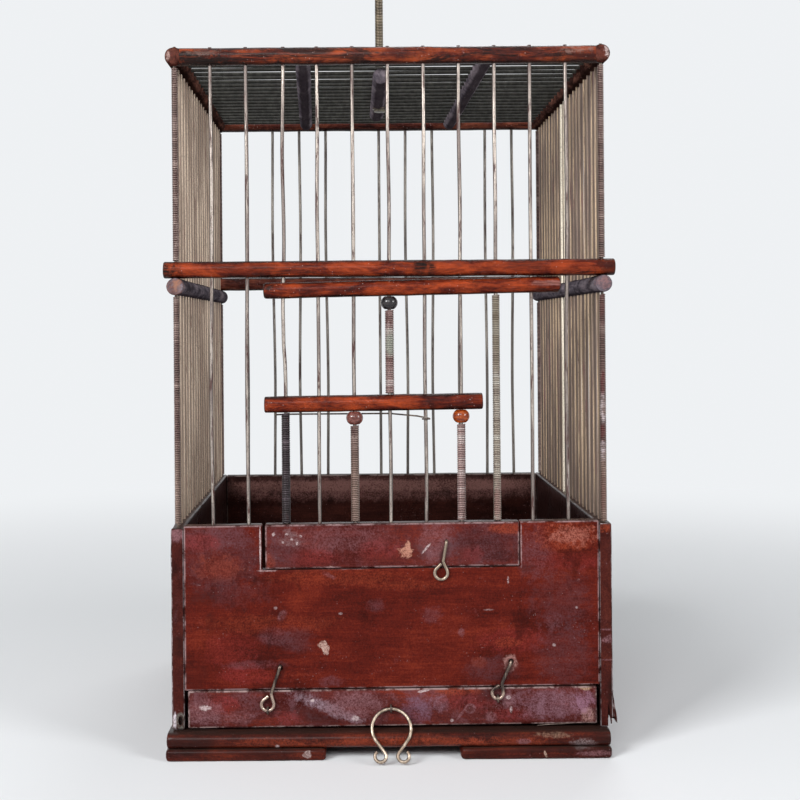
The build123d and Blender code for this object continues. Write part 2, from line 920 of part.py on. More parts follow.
# ---------------------------------------------------------------- tray pull
pull_plane = Plane(
    origin=(pull_x, pull_y, pull_height), x_dir=(1, 0, 0), z_dir=(0, -cos(pull_lean), sin(pull_lean))
)
curl_drop = pull_length - pull_curl_radius


def on_pull(x, y):
    return pull_plane.from_local_coords(Vector(x, y, 0))


def pull_half(side):
    """One leg of the pull: off the arch along a straight, then round an outward curl."""
    run = hypot(pull_curl_spread, curl_drop - pull_arch_radius)
    slope = atan2(pull_arch_radius - curl_drop, pull_curl_spread)
    normal = slope + acos((pull_arch_radius + pull_curl_radius) / run)
    arch_off = (pull_arch_radius * cos(normal), -pull_arch_radius + pull_arch_radius * sin(normal))
    curl_on = (
        pull_curl_spread - pull_curl_radius * cos(normal),
        -curl_drop - pull_curl_radius * sin(normal),
    )

    def on_curl(angle):
        return (
            pull_curl_spread + pull_curl_radius * cos(radians(angle)),
            -curl_drop + pull_curl_radius * sin(radians(angle)),
        )

    points = [arch_off, curl_on, on_curl(270), on_curl(pull_curl_end)]
    return [on_pull(side * x, y) for x, y in points]


left_leg = pull_half(-1)
right_leg = pull_half(1)
with BuildLine() as pull_path:
    ThreePointArc(left_leg[3], left_leg[2], left_leg[1])
    Line(left_leg[1], left_leg[0])
    ThreePointArc(left_leg[0], on_pull(0, 0), right_leg[0])
    Line(right_leg[0], right_leg[1])
    ThreePointArc(right_leg[1], right_leg[2], right_leg[3])
with BuildPart() as tray_pull:
    add(bent_wire(pull_path.wire(), pull_wire_radius))
write_piece(tray_pull, "tray_pull")

# ---------------------------------------------------------------- hanger
washer_top = block_height - block_radius + washer_thickness - hanger_hole_gap
washer_bottom = washer_top - washer_thickness
head_top = washer_bottom - stick_seat_gap
wrap_bottom = top_stick_height + wire_radius + hanger_hole_gap
wrap_top = wrap_bottom + hanger_wrap_height
crook_radius = hanger_hook_radius * cos(radians(hanger_hook_lean)) / (1 - cos(radians(hanger_hook_lean)))
hanger_plane = Plane(origin=(hanger_x, hanger_y, 0), x_dir=(1, 0, 0), z_dir=(0, -1, 0))
with BuildLine(hanger_plane) as hanger_path:
    stem = Line((0, head_top - hanger_head_thickness), (0, wrap_top + hanger_wire_radius))
    crook = JernArc(stem @ 1, stem % 1, crook_radius, -hanger_hook_lean)
    JernArc(crook @ 1, crook % 1, hanger_hook_radius, hanger_hook_turn)
with BuildPart() as hanger_hook:
    add(bent_wire(hanger_path.wire(), hanger_wire_radius))
    upright([(hanger_x, hanger_y)], head_top - hanger_head_thickness, head_top, hanger_head_radius)
write_piece(hanger_hook, "hanger_hook")

with BuildPart() as hanger_washer:
    upright([(hanger_x, hanger_y)], washer_bottom, washer_top, washer_radius)
    holes([(hanger_x, hanger_y)], washer_bottom, washer_top, hanger_wire_radius + hanger_hole_gap)
write_piece(hanger_washer, "hanger_washer")

with BuildPart() as hanger_wrap:
    upright([(hanger_x, hanger_y)], wrap_bottom, wrap_top, hanger_wrap_radius)
    holes([(hanger_x, hanger_y)], wrap_bottom, wrap_top, hanger_wire_radius + wire_hole_gap)
write_piece(hanger_wrap, "hanger_wrap")
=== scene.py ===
import math
import random

import bmesh
import bpy
from mathutils import Matrix, Vector


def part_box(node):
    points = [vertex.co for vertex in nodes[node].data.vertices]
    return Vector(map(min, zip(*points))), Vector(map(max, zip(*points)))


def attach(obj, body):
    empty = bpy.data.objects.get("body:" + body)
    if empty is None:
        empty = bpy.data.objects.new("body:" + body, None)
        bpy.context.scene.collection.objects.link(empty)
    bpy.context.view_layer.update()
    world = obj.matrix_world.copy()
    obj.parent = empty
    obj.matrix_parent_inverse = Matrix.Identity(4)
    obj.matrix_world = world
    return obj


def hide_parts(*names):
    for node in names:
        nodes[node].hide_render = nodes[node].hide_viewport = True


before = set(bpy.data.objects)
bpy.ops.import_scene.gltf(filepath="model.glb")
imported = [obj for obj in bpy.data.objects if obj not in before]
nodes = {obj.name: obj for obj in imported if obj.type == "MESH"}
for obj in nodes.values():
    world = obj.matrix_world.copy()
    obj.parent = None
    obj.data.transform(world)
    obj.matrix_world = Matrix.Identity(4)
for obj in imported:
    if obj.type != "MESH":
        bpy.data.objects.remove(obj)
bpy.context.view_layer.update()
chance = random.Random(11)

# ---- sizes, in metres
mm = 0.001
front_bays = 12
side_bays = 20
wire_radius = 0.95 * mm
close_wire_radius = 1.05 * mm
corner_wire_radius = 0.75 * mm
eye_wire_radius = 0.8 * mm
winding_pitch = 0.9 * mm
board_cell = 7 * mm

corner_low, corner_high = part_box("corner_wires")
side_plane = corner_high.x - corner_wire_radius
front_plane = corner_low.y + corner_wire_radius
back_plane = corner_high.y - corner_wire_radius
cage_middle = (front_plane + back_plane) / 2
front_pitch = 2 * side_plane / front_bays
side_pitch = (back_plane - front_plane) / side_bays

plank_low, plank_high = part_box("front_board")
strip_low, strip_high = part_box("door_bottom_rail")
tray_low, tray_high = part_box("tray_front")
front_face = plank_low.y
eye_plane = front_face - 1.15 * mm
left_hook_tip, right_hook_tip = (-55.7, 45.2), (59.1, 46.9)

# The boards at the front have sunk at their left ends.
plank_sink, strip_sink, tray_sink = 1.5 * mm, 0.8 * mm, 1.1 * mm
plank_lean = plank_sink / (plank_high.x - plank_low.x)
strip_lean = strip_sink / (strip_high.x - strip_low.x)
tray_lean = tray_sink / (tray_high.x - tray_low.x)
strip_drop = plank_lean * (plank_high.x - strip_high.x)
lowered = Vector((0, 0, strip_drop))

about_x, about_y, about_z = Vector((1, 0, 0)), Vector((0, 1, 0)), Vector((0, 0, 1))


# ---- workbench
def take_up(*pieces):
    """Makes the pieces the only selected ones, and the first of them the active one."""
    bpy.ops.object.select_all(action="DESELECT")
    for piece in pieces:
        piece.select_set(True)
    bpy.context.view_layer.objects.active = pieces[0]


def rename(piece, name):
    piece.name = name
    piece.data.name = name
    return piece


def settle(name):
    """Names the newest primitive and puts its place and turn into its mesh."""
    piece = rename(bpy.context.object, name)
    bpy.ops.object.transform_apply(location=True, rotation=True, scale=True)
    return piece


def on_the_bench(piece, kind="VERT", everything=False):
    """Opens a piece for editing by its points or edges, and gives its mesh."""
    take_up(piece)
    bpy.ops.object.mode_set(mode="EDIT")
    bpy.ops.mesh.select_mode(type=kind)
    bpy.ops.mesh.select_all(action="SELECT" if everything else "DESELECT")
    return bmesh.from_edit_mesh(piece.data)


def off_the_bench():
    bpy.ops.object.mode_set(mode="OBJECT")


def pick_edges(piece, wanted):
    mesh = on_the_bench(piece, "EDGE")
    mesh.normal_update()
    for edge in mesh.edges:
        edge.select = wanted(edge)
    bmesh.update_edit_mesh(piece.data)


def push(piece, wanted, move, reach=0.0, falloff="SMOOTH"):
    """Moves the wanted points of a piece, and those within reach less and less."""
    mesh = on_the_bench(piece)
    for point in mesh.verts:
        point.select = wanted(point.co)
    mesh.select_flush(True)
    bmesh.update_edit_mesh(piece.data)
    bpy.ops.transform.translate(
        value=move,
        use_proportional_edit=reach > 0,
        proportional_edit_falloff=falloff,
        proportional_size=reach or 1.0,
    )
    off_the_bench()


def cut_across(piece, normal, places):
    """Cuts the whole skin of a piece by parallel planes."""
    on_the_bench(piece)
    for place in places:
        bpy.ops.mesh.select_all(action="SELECT")
        bpy.ops.mesh.bisect(plane_co=normal * place, plane_no=normal)
    off_the_bench()


def cut_into_cells(piece, low, high):
    """Cuts the skin of a piece into small cells along its long sides."""
    for normal, start, stop in zip((about_x, about_y, about_z), low, high):
        if stop - start > 2 * board_cell:
            count = round((stop - start) / board_cell)
            cut_across(piece, normal, [start + (stop - start) * part / count for part in range(1, count)])


def ease_corners(piece, width, segments, sharper_than=50):
    """Rounds every sharp edge of a piece."""
    limit = math.radians(sharper_than)
    pick_edges(piece, lambda edge: edge.calc_face_angle(0) > limit)
    bpy.ops.mesh.bevel(offset=width, segments=segments, affect="EDGES", clamp_overlap=True)
    off_the_bench()


def roughen(depth, seed):
    """Moves the picked points about at random and closes the piece."""
    bpy.ops.mesh.select_mode(type="VERT")
    bpy.ops.transform.vertex_random(offset=depth, seed=seed)
    off_the_bench()


def modified(piece, kind, **settings):
    """Adds a modifier, sets it and applies it."""
    take_up(piece)
    modifier = piece.modifiers.new(kind.lower(), kind)
    for name, value in settings.items():
        setattr(modifier, name, value)
    bpy.ops.object.modifier_apply(modifier=modifier.name)


def waver(piece, depth, grain_size):
    """Moves the skin in and out by a little, as hand work does."""
    clouds = bpy.data.textures.new(piece.name + "_waver", "CLOUDS")
    clouds.noise_scale = grain_size
    modified(piece, "DISPLACE", texture=clouds, texture_coords="LOCAL", strength=depth, mid_level=0.5)
    bpy.data.textures.remove(clouds)


def smooth(piece, sharper_than=38):
    take_up(piece)
    bpy.ops.object.shade_smooth_by_angle(angle=math.radians(sharper_than))
    return piece


def cut_away(piece, cutter):
    """Takes the cutter's form out of a piece."""
    modified(piece, "BOOLEAN", operation="DIFFERENCE", solver="EXACT", object=cutter)
    bpy.data.objects.remove(cutter)


def copy_to(piece, name, move):
    """A copy with its own mesh, moved or turned."""
    twin = piece.copy()
    twin.data = piece.data.copy()
    twin.data.transform(move)
    bpy.context.scene.collection.objects.link(twin)
    return rename(twin, name)


def join(pieces, name):
    take_up(*pieces)
    bpy.ops.object.join()
    return rename(bpy.context.object, name)


def turn_out(piece):
    """Closes the ends and turns every face outwards."""
    on_the_bench(piece, everything=True)
    bpy.ops.mesh.remove_doubles(threshold=0.0005 * mm)
    bpy.ops.mesh.fill_holes(sides=0)
    bpy.ops.mesh.normals_make_consistent(inside=False)
    off_the_bench()


def rod(name, start, end, radius, sides, tip_radius=None):
    """A plain round bar between two points, pointed if it has a tip radius."""
    run = end - start
    turn = run.to_track_quat("Z", "Y").to_euler()
    place = {"depth": run.length, "location": (start + end) / 2, "rotation": turn}
    if tip_radius is None:
        bpy.ops.mesh.primitive_cylinder_add(vertices=sides, radius=radius, **place)
    else:
        bpy.ops.mesh.primitive_cone_add(vertices=sides, radius1=radius, radius2=tip_radius, **place)
    return settle(name)


def cut_along(piece, length, rings, share=0.9):
    """Cuts the long edges of a bar into short ones."""
    pick_edges(piece, lambda edge: edge.calc_length() > share * length)
    bpy.ops.mesh.subdivide(number_cuts=rings)


def moved(x, y, z=0.0):
    return Matrix.Translation((x, y, z))


def turned_at_random():
    return Matrix.Rotation(chance.uniform(0, 2 * math.pi), 4, "Z")


def hand_over(piece, body, material, slot, *replaced):
    """Gives a finished piece its surface, its body and the solids that it stands for."""
    piece.data.materials.clear()
    piece.data.materials.append(material)
    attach(piece, body)
    if replaced:
        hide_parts(*replaced)


# ---- surfaces
class Value:
    """What a node gives out. Sums, differences and products of values are nodes too."""

    def __init__(self, home, socket):
        self.home, self.socket = home, socket

    def __add__(self, other):
        return self.home.math("ADD", self, other)

    def __sub__(self, other):
        return self.home.math("SUBTRACT", self, other)

    def __rsub__(self, other):
        return self.home.math("SUBTRACT", other, self)

    def __mul__(self, other):
        return self.home.math("MULTIPLY", self, other)

    def __abs__(self):
        return self.home.math("ABSOLUTE", self)

    def part(self, which):
        """x, y or z of a vector, by number."""
        return self.home.node("SeparateXYZ", {0: self}, which)

    def most(self, other):
        """The greater of two values."""
        return self.home.math("MAXIMUM", self, other)

    def step(self, low, high, to_low=0.0, to_high=1.0):
        """Goes softly from one level to the other while the value goes from low to high."""
        inputs = {"Value": self, "From Min": low, "From Max": high, "To Min": to_low, "To Max": to_high}
        return self.home.node("MapRange", inputs, "Result", interpolation_type="SMOOTHSTEP")


class Nodes:
    """A node tree, filled node by node."""

    def __init__(self, tree):
        self.tree = tree

    def put(self, socket, value):
        if isinstance(value, Value):
            self.tree.links.new(value.socket, socket)
        elif isinstance(value, tuple) and len(value) == 3 and len(socket.default_value) == 4:
            socket.default_value = (*value, 1)
        else:
            socket.default_value = value

    def node(self, kind, inputs, output=0, **settings):
        """Adds a node, sets it, fills its inputs and gives one of its outputs."""
        node = self.tree.nodes.new("ShaderNode" + kind)
        for name, value in settings.items():
            setattr(node, name, value)
        for name, value in inputs.items():
            self.put(node.inputs[name], value)
        return Value(self, node.outputs[output])

    def math(self, operation, first, second=0.0):
        return self.node("Math", {0: first, 1: second}, operation=operation)

    def seen(self):
        """1 where the camera looks, straight or by a shine or through glass, 0 for the light itself."""
        straight, shine, through = (
            self.node("LightPath", {}, f"Is {kind} Ray") for kind in ("Camera", "Glossy", "Transmission")
        )
        return straight.most(shine).most(through)


class Surface(Nodes):
    """A node material, built up step by step."""

    def __init__(self, name, front=None):
        self.front = front_face if front is None else front
        self.material = bpy.data.materials.new(name)
        self.material.use_nodes = True
        super().__init__(self.material.node_tree)
        self.tree.nodes.clear()
        self.shader = self.tree.nodes.new("ShaderNodeBsdfPrincipled")
        self.end = self.tree.nodes.new("ShaderNodeOutputMaterial").inputs["Surface"]
        self.tree.links.new(self.shader.outputs[0], self.end)
        self.place = self.node("TexCoord", {}, "Object")
        self.facing = self.node("TexCoord", {}, "Normal")
        self.colour = self.frayed = None

    def set(self, **values):
        for name, value in values.items():
            self.put(self.shader.inputs[name.replace("_", " ").title().replace("Ior", "IOR")], value)

    def gloss(self, level, coat=0.0, coat_roughness=0.1):
        self.set(specular_ior_level=level, coat_weight=coat, coat_roughness=coat_roughness)

    def noise(
        self, scale, detail=4, roughness=0.6, distortion=0, stretch=None, turn=(0, 0, 0), move=(0, 0, 0)
    ):
        inputs = {"Scale": scale, "Detail": detail, "Roughness": roughness, "Distortion": distortion}
        place = {"Vector": self.place, "Scale": stretch, "Rotation": turn, "Location": move}
        inputs["Vector"] = self.node("Mapping", place) if stretch else self.place
        return self.node("TexNoise", inputs, "Fac")

    def cells(self, scale):
        return self.node("TexVoronoi", {"Vector": self.place, "Scale": scale}, "Distance")

    def vector(self, operation, first, second=(0, 0, 0)):
        output = "Value" if operation == "LENGTH" else "Vector"
        return self.node("VectorMath", {0: first, 1: second}, output, operation=operation)

    def ramp(self, value, *stops):
        ramp = self.node("ValToRGB", {"Fac": value}, "Color")
        marks = ramp.socket.node.color_ramp.elements
        while len(marks) < len(stops):
            marks.new(0.5)
        for mark, (at, colour) in zip(marks, stops):
            mark.position = at
            mark.color = (*colour, 1)
        return ramp

    def over(self, amount, under, top):
        """Two colours mixed: the under one at 0, the top one at 1."""
        return self.node("Mix", {0: amount, 6: under, 7: top}, 2, data_type="RGBA")

    def lay(self, amount, top):
        """Lays a colour over what is there."""
        self.colour = self.over(amount, self.colour, top)

    def spot(self, x, z, wide, high, fray=0.5, turn=0.0, soft=0.7):
        """1 inside a frayed oval on the front of the box, 0 outside it; all in millimetres."""
        if self.frayed is None:
            self.frayed = self.noise(270, 5, 0.75)
        away = self.vector("SUBTRACT", self.place, (x * mm, self.front, z * mm))
        if turn:
            away = self.node("Mapping", {"Rotation": (0, math.radians(turn), 0), "Vector": away})
        away = self.vector("MULTIPLY", away, (2 / (wide * mm), 1 / (3.5 * mm), 2 / (high * mm)))
        edge = self.vector("LENGTH", away) + self.frayed * (4 * fray) - 2 * fray
        return edge.step(1 - soft / 2, 1 + soft / 2, 1.0, 0.0)

    def lay_spots(self, spots, patchy=None):
        """Lays spots over the colour in their order, whole or broken up by a pattern."""
        for tone, share, *where in spots:
            spot = self.spot(*where)
            self.lay((spot * patchy if patchy else spot) * share, tone)

    def rim(self, low, high, width, lean=0.0, both_sides=False):
        """1 along the twelve edges of a board, which may lean down to the left."""
        x, y, z = (self.place.part(axis) for axis in range(3))
        if lean:
            z = z + (high.x - x) * lean
        if both_sides:
            x = abs(x)
        near = []
        for place, start, stop in ((x, low.x, high.x), (y, low.y, high.y), (z, low.z, high.z)):
            off_middle = abs(place - (start + stop) / 2)
            half = (stop - start) / 2
            at_edge = off_middle.step(half - 1.3 * width, half - 0.5 * width)
            near.append(at_edge * off_middle.step(half + 0.5 * mm, half + 1.0 * mm, 1.0, 0.0))
        pairs = [near[one] * near[other] for one, other in ((0, 1), (1, 2), (0, 2))]
        return pairs[0].most(pairs[1]).most(pairs[2])

    def relief(self, height, strength, depth):
        return self.node("Bump", {"Strength": strength, "Distance": depth, "Height": height})


def toned(colour, share):
    return tuple(share * part for part in colour)


def with_grain(along, share):
    """The stretch of a pattern that is longer along the grain only."""
    return tuple(share if part < 1 else 1 for part in along)


along_x, along_y = (0.06, 1, 1), (1, 0.06, 1)
# The second colour is a painted highlight.
near_black, glint_white = (0.016, 0.005, 0.004), (0.95, 0.86, 0.70)


def varnished_stick(
    name, along, dark, red, worn, soot_and_shade, soot_from, haze_share, spots=(), gloss=(0.06, 0.10, 0.10)
):
    """Round stick under thick varnish: red and orange where it is rubbed, with painted shade near black above
    and below, where it turns away from the front.
    """
    wood = Surface(name)
    fibre = wood.noise(1500, 3, 0.7, stretch=along)
    streak = wood.noise(260, 5, 0.7, 0.8, with_grain(along, 0.16))
    blot = wood.noise(85, 4, 0.65, 0.5, with_grain(along, 0.5))
    mixed = streak * 0.4 + fibre * 0.16 + blot * 0.54
    wood.colour = wood.ramp(mixed, (0.44, dark), (0.52, red), (0.60, worn), (0.69, toned(worn, 1.6)))
    haze = wood.noise(190, 5, 0.75).step(0.56, 0.72)
    wood.lay(haze * haze_share, (0.20, 0.11, 0.12))
    lump = wood.noise(170, 5, 0.75, 1.0, with_grain(along, 0.16), move=(1, 2, 3))
    wood.lay(lump.step(soot_from, soot_from + 0.12) * 0.88, soot_and_shade)
    # Painted shade: where the stick turns up or down, away from the front, the soot colour is laid over it.
    sides = abs(wood.facing.part(1))
    if along == along_y:
        sides = sides.most(abs(wood.facing.part(0)))
    wood.lay((sides + blot * 0.5).step(0.70, 1.08, 1.0, 0.0) * 0.85, soot_and_shade)
    # Pale specks painted as glints off the lumpy varnish.
    speck = wood.cells(520).step(0.16, 0.08) * wood.noise(110, 2).step(0.50, 0.60)
    wood.lay(speck * 0.6, (0.50, 0.36, 0.32))
    patchy = (streak * 0.5 + fibre * 0.5).step(0.40, 0.58, 0.25, 1.0)
    wood.lay_spots(spots, patchy)
    wood.set(base_color=wood.colour, roughness=(blot + haze * 0.3).step(0.3, 0.9, 0.16, 0.5))
    wood.gloss(*gloss)
    wood.set(normal=wood.relief(fibre * 0.35 + wood.noise(420, 5, 0.7), 1.0, 0.75 * mm))
    return wood.material


def varnished_board(
    name, along, dark, red, worn, haze_colour, haze_from, haze_share, spots=(), edges=None, edge_wear_and_glint_colour=None,
    front=None, inner_shade=False, coat=0.02,
):
    """Board under old varnish: fine grain, lilac bloom, specks and scratches, pale broken edges that are
    partly worn and partly painted highlights.
    """
    wood = Surface(name, front)
    fibre = wood.noise(1100, 3, 0.75, stretch=along)
    band = wood.noise(95, 6, 0.6, 0.6, with_grain(along, 0.22))
    blot = wood.noise(28, 5, 0.62, 0.4)
    grit = wood.noise(1100, 4, 0.85)
    mixed = band * 0.36 + fibre * 0.22 + blot * 0.36 + grit * 0.44 - 0.19
    wood.colour = wood.ramp(mixed, (0.39, dark), (0.51, red), (0.63, worn))
    cloud = wood.noise(70, 8, 0.8, 0.7)
    bloom = (cloud + grit * 0.5).step(haze_from + 0.14, haze_from + 0.34)
    wood.lay(bloom * haze_share, haze_colour)
    wood.lay_spots(spots, (grit * 0.62 + cloud * 0.38).step(0.40, 0.60, 0.10, 1.35))
    grime = wood.noise(55, 7, 0.75, 0.5, (1, 1, 0.6), move=(7, 0, 4)).step(0.53, 0.68)
    wood.lay(grime * 0.6, toned(dark, 0.45))
    scratch = wood.noise(700, 2, 0.5, 0.6, (0.35, 1, 1.3), turn=(0, 0.6, 0))
    scratch = scratch.step(0.72, 0.77) * cloud.step(0.50, 0.56)
    speck = wood.cells(460).step(0.15, 0.06) * wood.noise(70, 3).step(0.49, 0.58)
    marks = scratch.most(speck)
    wood.lay(marks * 0.34, (0.36, 0.22, 0.22))
    # Along the edges: darker varnish, then pale broken lines that are worn edges and painted highlights on
    # the rounded edges together.
    if edges:
        edge_wear_and_glint_mask = wood.rim(*edges)
        broken = wood.noise(420, 6, 0.8) * 0.5 + wood.noise(90, 3) * 0.5
        wood.lay(edge_wear_and_glint_mask * 0.55, near_black)
        wood.lay(edge_wear_and_glint_mask * broken.step(0.44, 0.56, 0.0, 0.85), edge_wear_and_glint_colour)
    # Painted shade on faces that look in towards the middle of the cage.
    if inner_shade:
        inwards = wood.facing.part(0) * wood.place.part(0)
        wood.lay(inwards.step(-0.09, -0.05, 0.85, 0.0), (0.010, 0.006, 0.006))
    # Faces that look up are made darker.
    wood.lay(wood.facing.part(2).step(0.72, 0.96) * 0.7, (0.024, 0.017, 0.014))
    wood.set(base_color=wood.colour, roughness=(bloom + blot).step(0.3, 1.4, 0.26, 0.6))
    wood.gloss(0.05, coat, 0.14)
    wood.set(normal=wood.relief(fibre * 0.3 + marks * -0.5 + wood.noise(230, 6, 0.7), 0.5, 0.35 * mm))
    return wood.material


def drawn_wire(
    name, bare, bright, stain, stain_from, metal=0.75, rough=0.4, band=0.12, varnished_above=None,
    brass_below=None, flank=None, edge_shade_from=0.45, shade_away_from_front=False, glint_at=None,
):
    """Old wire: dull metal with brighter rubs and splashes of dark red varnish along it, painted shade on its
    flanks and, if given a place, a painted highlight down two wires there.
    """
    wire = Surface(name)
    along = wire.noise(560, 5, 0.75, stretch=(1, 1, band))
    rub = wire.noise(320, 4, 0.7, stretch=(1, 1, band * 0.6), move=(2, 5, 1))
    wire.colour = bare
    wire.lay(rub.step(0.42, 0.62), bright)
    # Painted shade: the wire's flanks, as seen from the front, are darkened.
    if flank is not None:
        sides = abs(wire.facing.part(flank))
        if shade_away_from_front:
            sides = 1.2 - sides
        wire.lay(sides.step(edge_shade_from, 0.93, 0.0, 0.85), toned(bare, 0.18))
    splash = along.step(stain_from, stain_from + 0.07)
    if varnished_above is not None:
        splash = splash.most(wire.place.part(2).step(varnished_above, varnished_above + mm))
    if brass_below is not None:
        low_part = wire.place.part(2).step(brass_below, brass_below + 2 * mm, 1.0, 0.0)
        wire.lay(low_part * 0.8, (0.50, 0.37, 0.30))
        splash = splash * (1.0 - low_part * 0.7)
    wire.lay(splash * 0.92, stain)
    # A near-white stripe painted down the inner side of the two wires there: a painted highlight.
    if glint_at is not None:
        aside = abs(wire.place.part(1) - glint_at)
        pair = side_pitch / 2 + 1.5 * mm
        inner_side = wire.facing.part(0).step(-0.1, 0.2, 1.0, 0.0)
        wire.lay(aside.step(pair, pair + 0.5 * mm, 0.95, 0.0) * inner_side, glint_white)
    grit = wire.noise(1500, 3, 0.7).step(0.52, 0.66)
    wire.lay(grit * 0.55, toned(bare, 0.35))
    wire.set(
        base_color=wire.colour,
        metallic=(1.0 - splash) * metal,
        roughness=rub.step(0.3, 0.7, rough + 0.14, rough - 0.06),
        normal=wire.relief(wire.noise(1400, 3, 0.7), 0.3, 0.12 * mm),
    )
    wire.gloss(0.3)
    return wire.material


def wound_cover(name, stops, stain, stain_from, metal=0.3, rough=0.45, spots=(), below=None, turn_highlight=0.3):
    """Closely wound thin wire: its colour changes from turn to turn and in stained lengths, with a painted
    highlight on each turn and painted shade between turns.
    """
    cover = Surface(name)
    up_only = (0.02, 0.02, 1)
    lengths = cover.noise(170, 4, 0.65, stretch=up_only)
    turns = cover.noise(1300, 2, 0.5, stretch=up_only)
    cover.colour = cover.ramp(lengths * 0.62 + turns * 0.38, *stops)
    splash = cover.noise(260, 4, 0.7, stretch=(1, 1, 0.35)).step(stain_from, stain_from + 0.08)
    cover.lay(splash * 0.85, stain)
    cover.lay_spots(spots)
    height = cover.place.part(2)
    if below:
        level, tone, share = below
        cover.lay(height.step(level - 12 * mm, level + 12 * mm, 1.0, 0.0) * share, tone)
    # Painted light along the coil: pale on each turn's crest, near black in the grooves between turns.
    wave = cover.math("SINE", height * (2 * math.pi / winding_pitch))
    cover.lay(wave.step(0.2, 1.0, 0.0, turn_highlight), (0.52, 0.46, 0.42))
    cover.lay(wave.step(-0.95, 0.2, 0.85, 0.0), (0.012, 0.006, 0.005))
    cover.set(base_color=cover.colour, metallic=metal, roughness=rough)
    cover.gloss(0.25)
    return cover.material


def pressed_glass(name, deep, light, through):
    glass = Surface(name)
    swirl = glass.noise(330, 3, 0.5, 1.0, (1, 1, 2.5))
    glass.set(base_color=glass.over(swirl.step(0.35, 0.7), deep, light))
    glass.set(roughness=0.08, transmission_weight=through, ior=1.5)
    glass.gloss(0.3, 0.22, 0.05)
    return glass.material


# ---- colours
# A spot is a colour, its share, then x, z, width and height in millimetres, fray, turn and softness.
black_soot = (0.01, 0.0045, 0.0035)
dark_mahogany, red_mahogany = (0.034, 0.0045, 0.0028), (0.098, 0.011, 0.004)
worn_orange = (0.25, 0.036, 0.009)
pink_end = (0.34, 0.19, 0.17)
stick_across = varnished_stick(
    "stick_across", along_x, dark_mahogany, red_mahogany, worn_orange, black_soot, 0.56, 0.12,
    [
        (black_soot, 1.3, 16.4, 243.5, 8, 13, 0.6, 0, 1.1),
        (black_soot, 1.1, 21, 241, 4, 9, 0.6, 0, 1.1),
        (black_soot, 1.0, -116, 242.5, 20, 20, 1.0, 0, 1.0), (black_soot, 0.7, 111, 242.5, 14, 16, 0.9),
        # The pale pink line along the door top rail's upper edge is a painted highlight, and the two long
        # orange bands along the middle of the rail's front are painted light.
        (pink_end, 0.5, 80, 234.4, 20, 2.6, 0.5), (worn_orange, 0.5, 62, 243, 50, 5, 0.6),
        (worn_orange, 0.4, -70, 243, 60, 5, 0.6),
    ],
)
top_stick_across = varnished_stick(
    "top_stick_across", along_x, (0.03, 0.005, 0.0035), (0.09, 0.012, 0.005), (0.24, 0.042, 0.012),
    black_soot, 0.46, 0.2,
    spots=[
        (black_soot, 1.1, -92, 347, 26, 10, 1.0),
        # The pale spots on the top edge near each end are painted glints.
        ((0.2, 0.11, 0.09), 0.5, -91, 350.6, 12, 3, 1.2, 0, 0.6), (black_soot, 0.8, 94, 346, 22, 8, 1.0),
        ((0.3, 0.17, 0.14), 0.5, 94, 350.4, 12, 3.4, 1.2, 0, 0.6),
    ],
    gloss=(0.08, 0.14, 0.12),
)
# A darker copy of the red stick: painted shade on the rails at the back of the cage.
back_stick_across = varnished_stick(
    "back_stick_across", along_x, (0.02, 0.006, 0.005), (0.06, 0.014, 0.01), (0.13, 0.035, 0.02),
    black_soot, 0.56, 0.3, gloss=(0.05, 0.0, 0.2),
)
# Grey-violet tones on the same red wood: painted shade and a painted reflection of a bluish backdrop.
stick_back_to_front = varnished_stick(
    "stick_back_to_front", along_y, (0.052, 0.044, 0.052), (0.106, 0.09, 0.108), (0.18, 0.15, 0.168),
    (0.03, 0.022, 0.026), 0.6, 0.2,
    [
        ((0.17, 0.06, 0.034), 0.8, -106.5, 234, 9, 9, 0.8),
        ((0.36, 0.18, 0.12), 0.7, -105.5, 234.8, 4.6, 5, 1.3, 0, 0.5),
        ((0.26, 0.12, 0.11), 0.7, 106.5, 234, 7, 7, 0.9),
    ],
    (0.0, 0.0, 0.3),
)
roof_side_stick = varnished_stick(
    "roof_side_stick", along_y, (0.018, 0.009, 0.008), (0.05, 0.022, 0.018), (0.13, 0.055, 0.04),
    black_soot, 0.56, 0.2,
    [
        ((0.1, 0.025, 0.018), 0.8, -106.5, 348.9, 10, 10, 0.7),
        ((0.13, 0.035, 0.025), 0.8, 106.5, 348.9, 10, 10, 0.7),
        # The small pale spots at the corners are painted glints.
        ((0.46, 0.32, 0.29), 0.7, -109.0, 348.8, 2.8, 4.2, 0.9, 0, 0.5),
        ((0.56, 0.44, 0.42), 0.85, 109.0, 349.4, 3.0, 5.6, 0.9, 0, 0.4),
    ],
    (0.0, 0.0, 0.3),
)

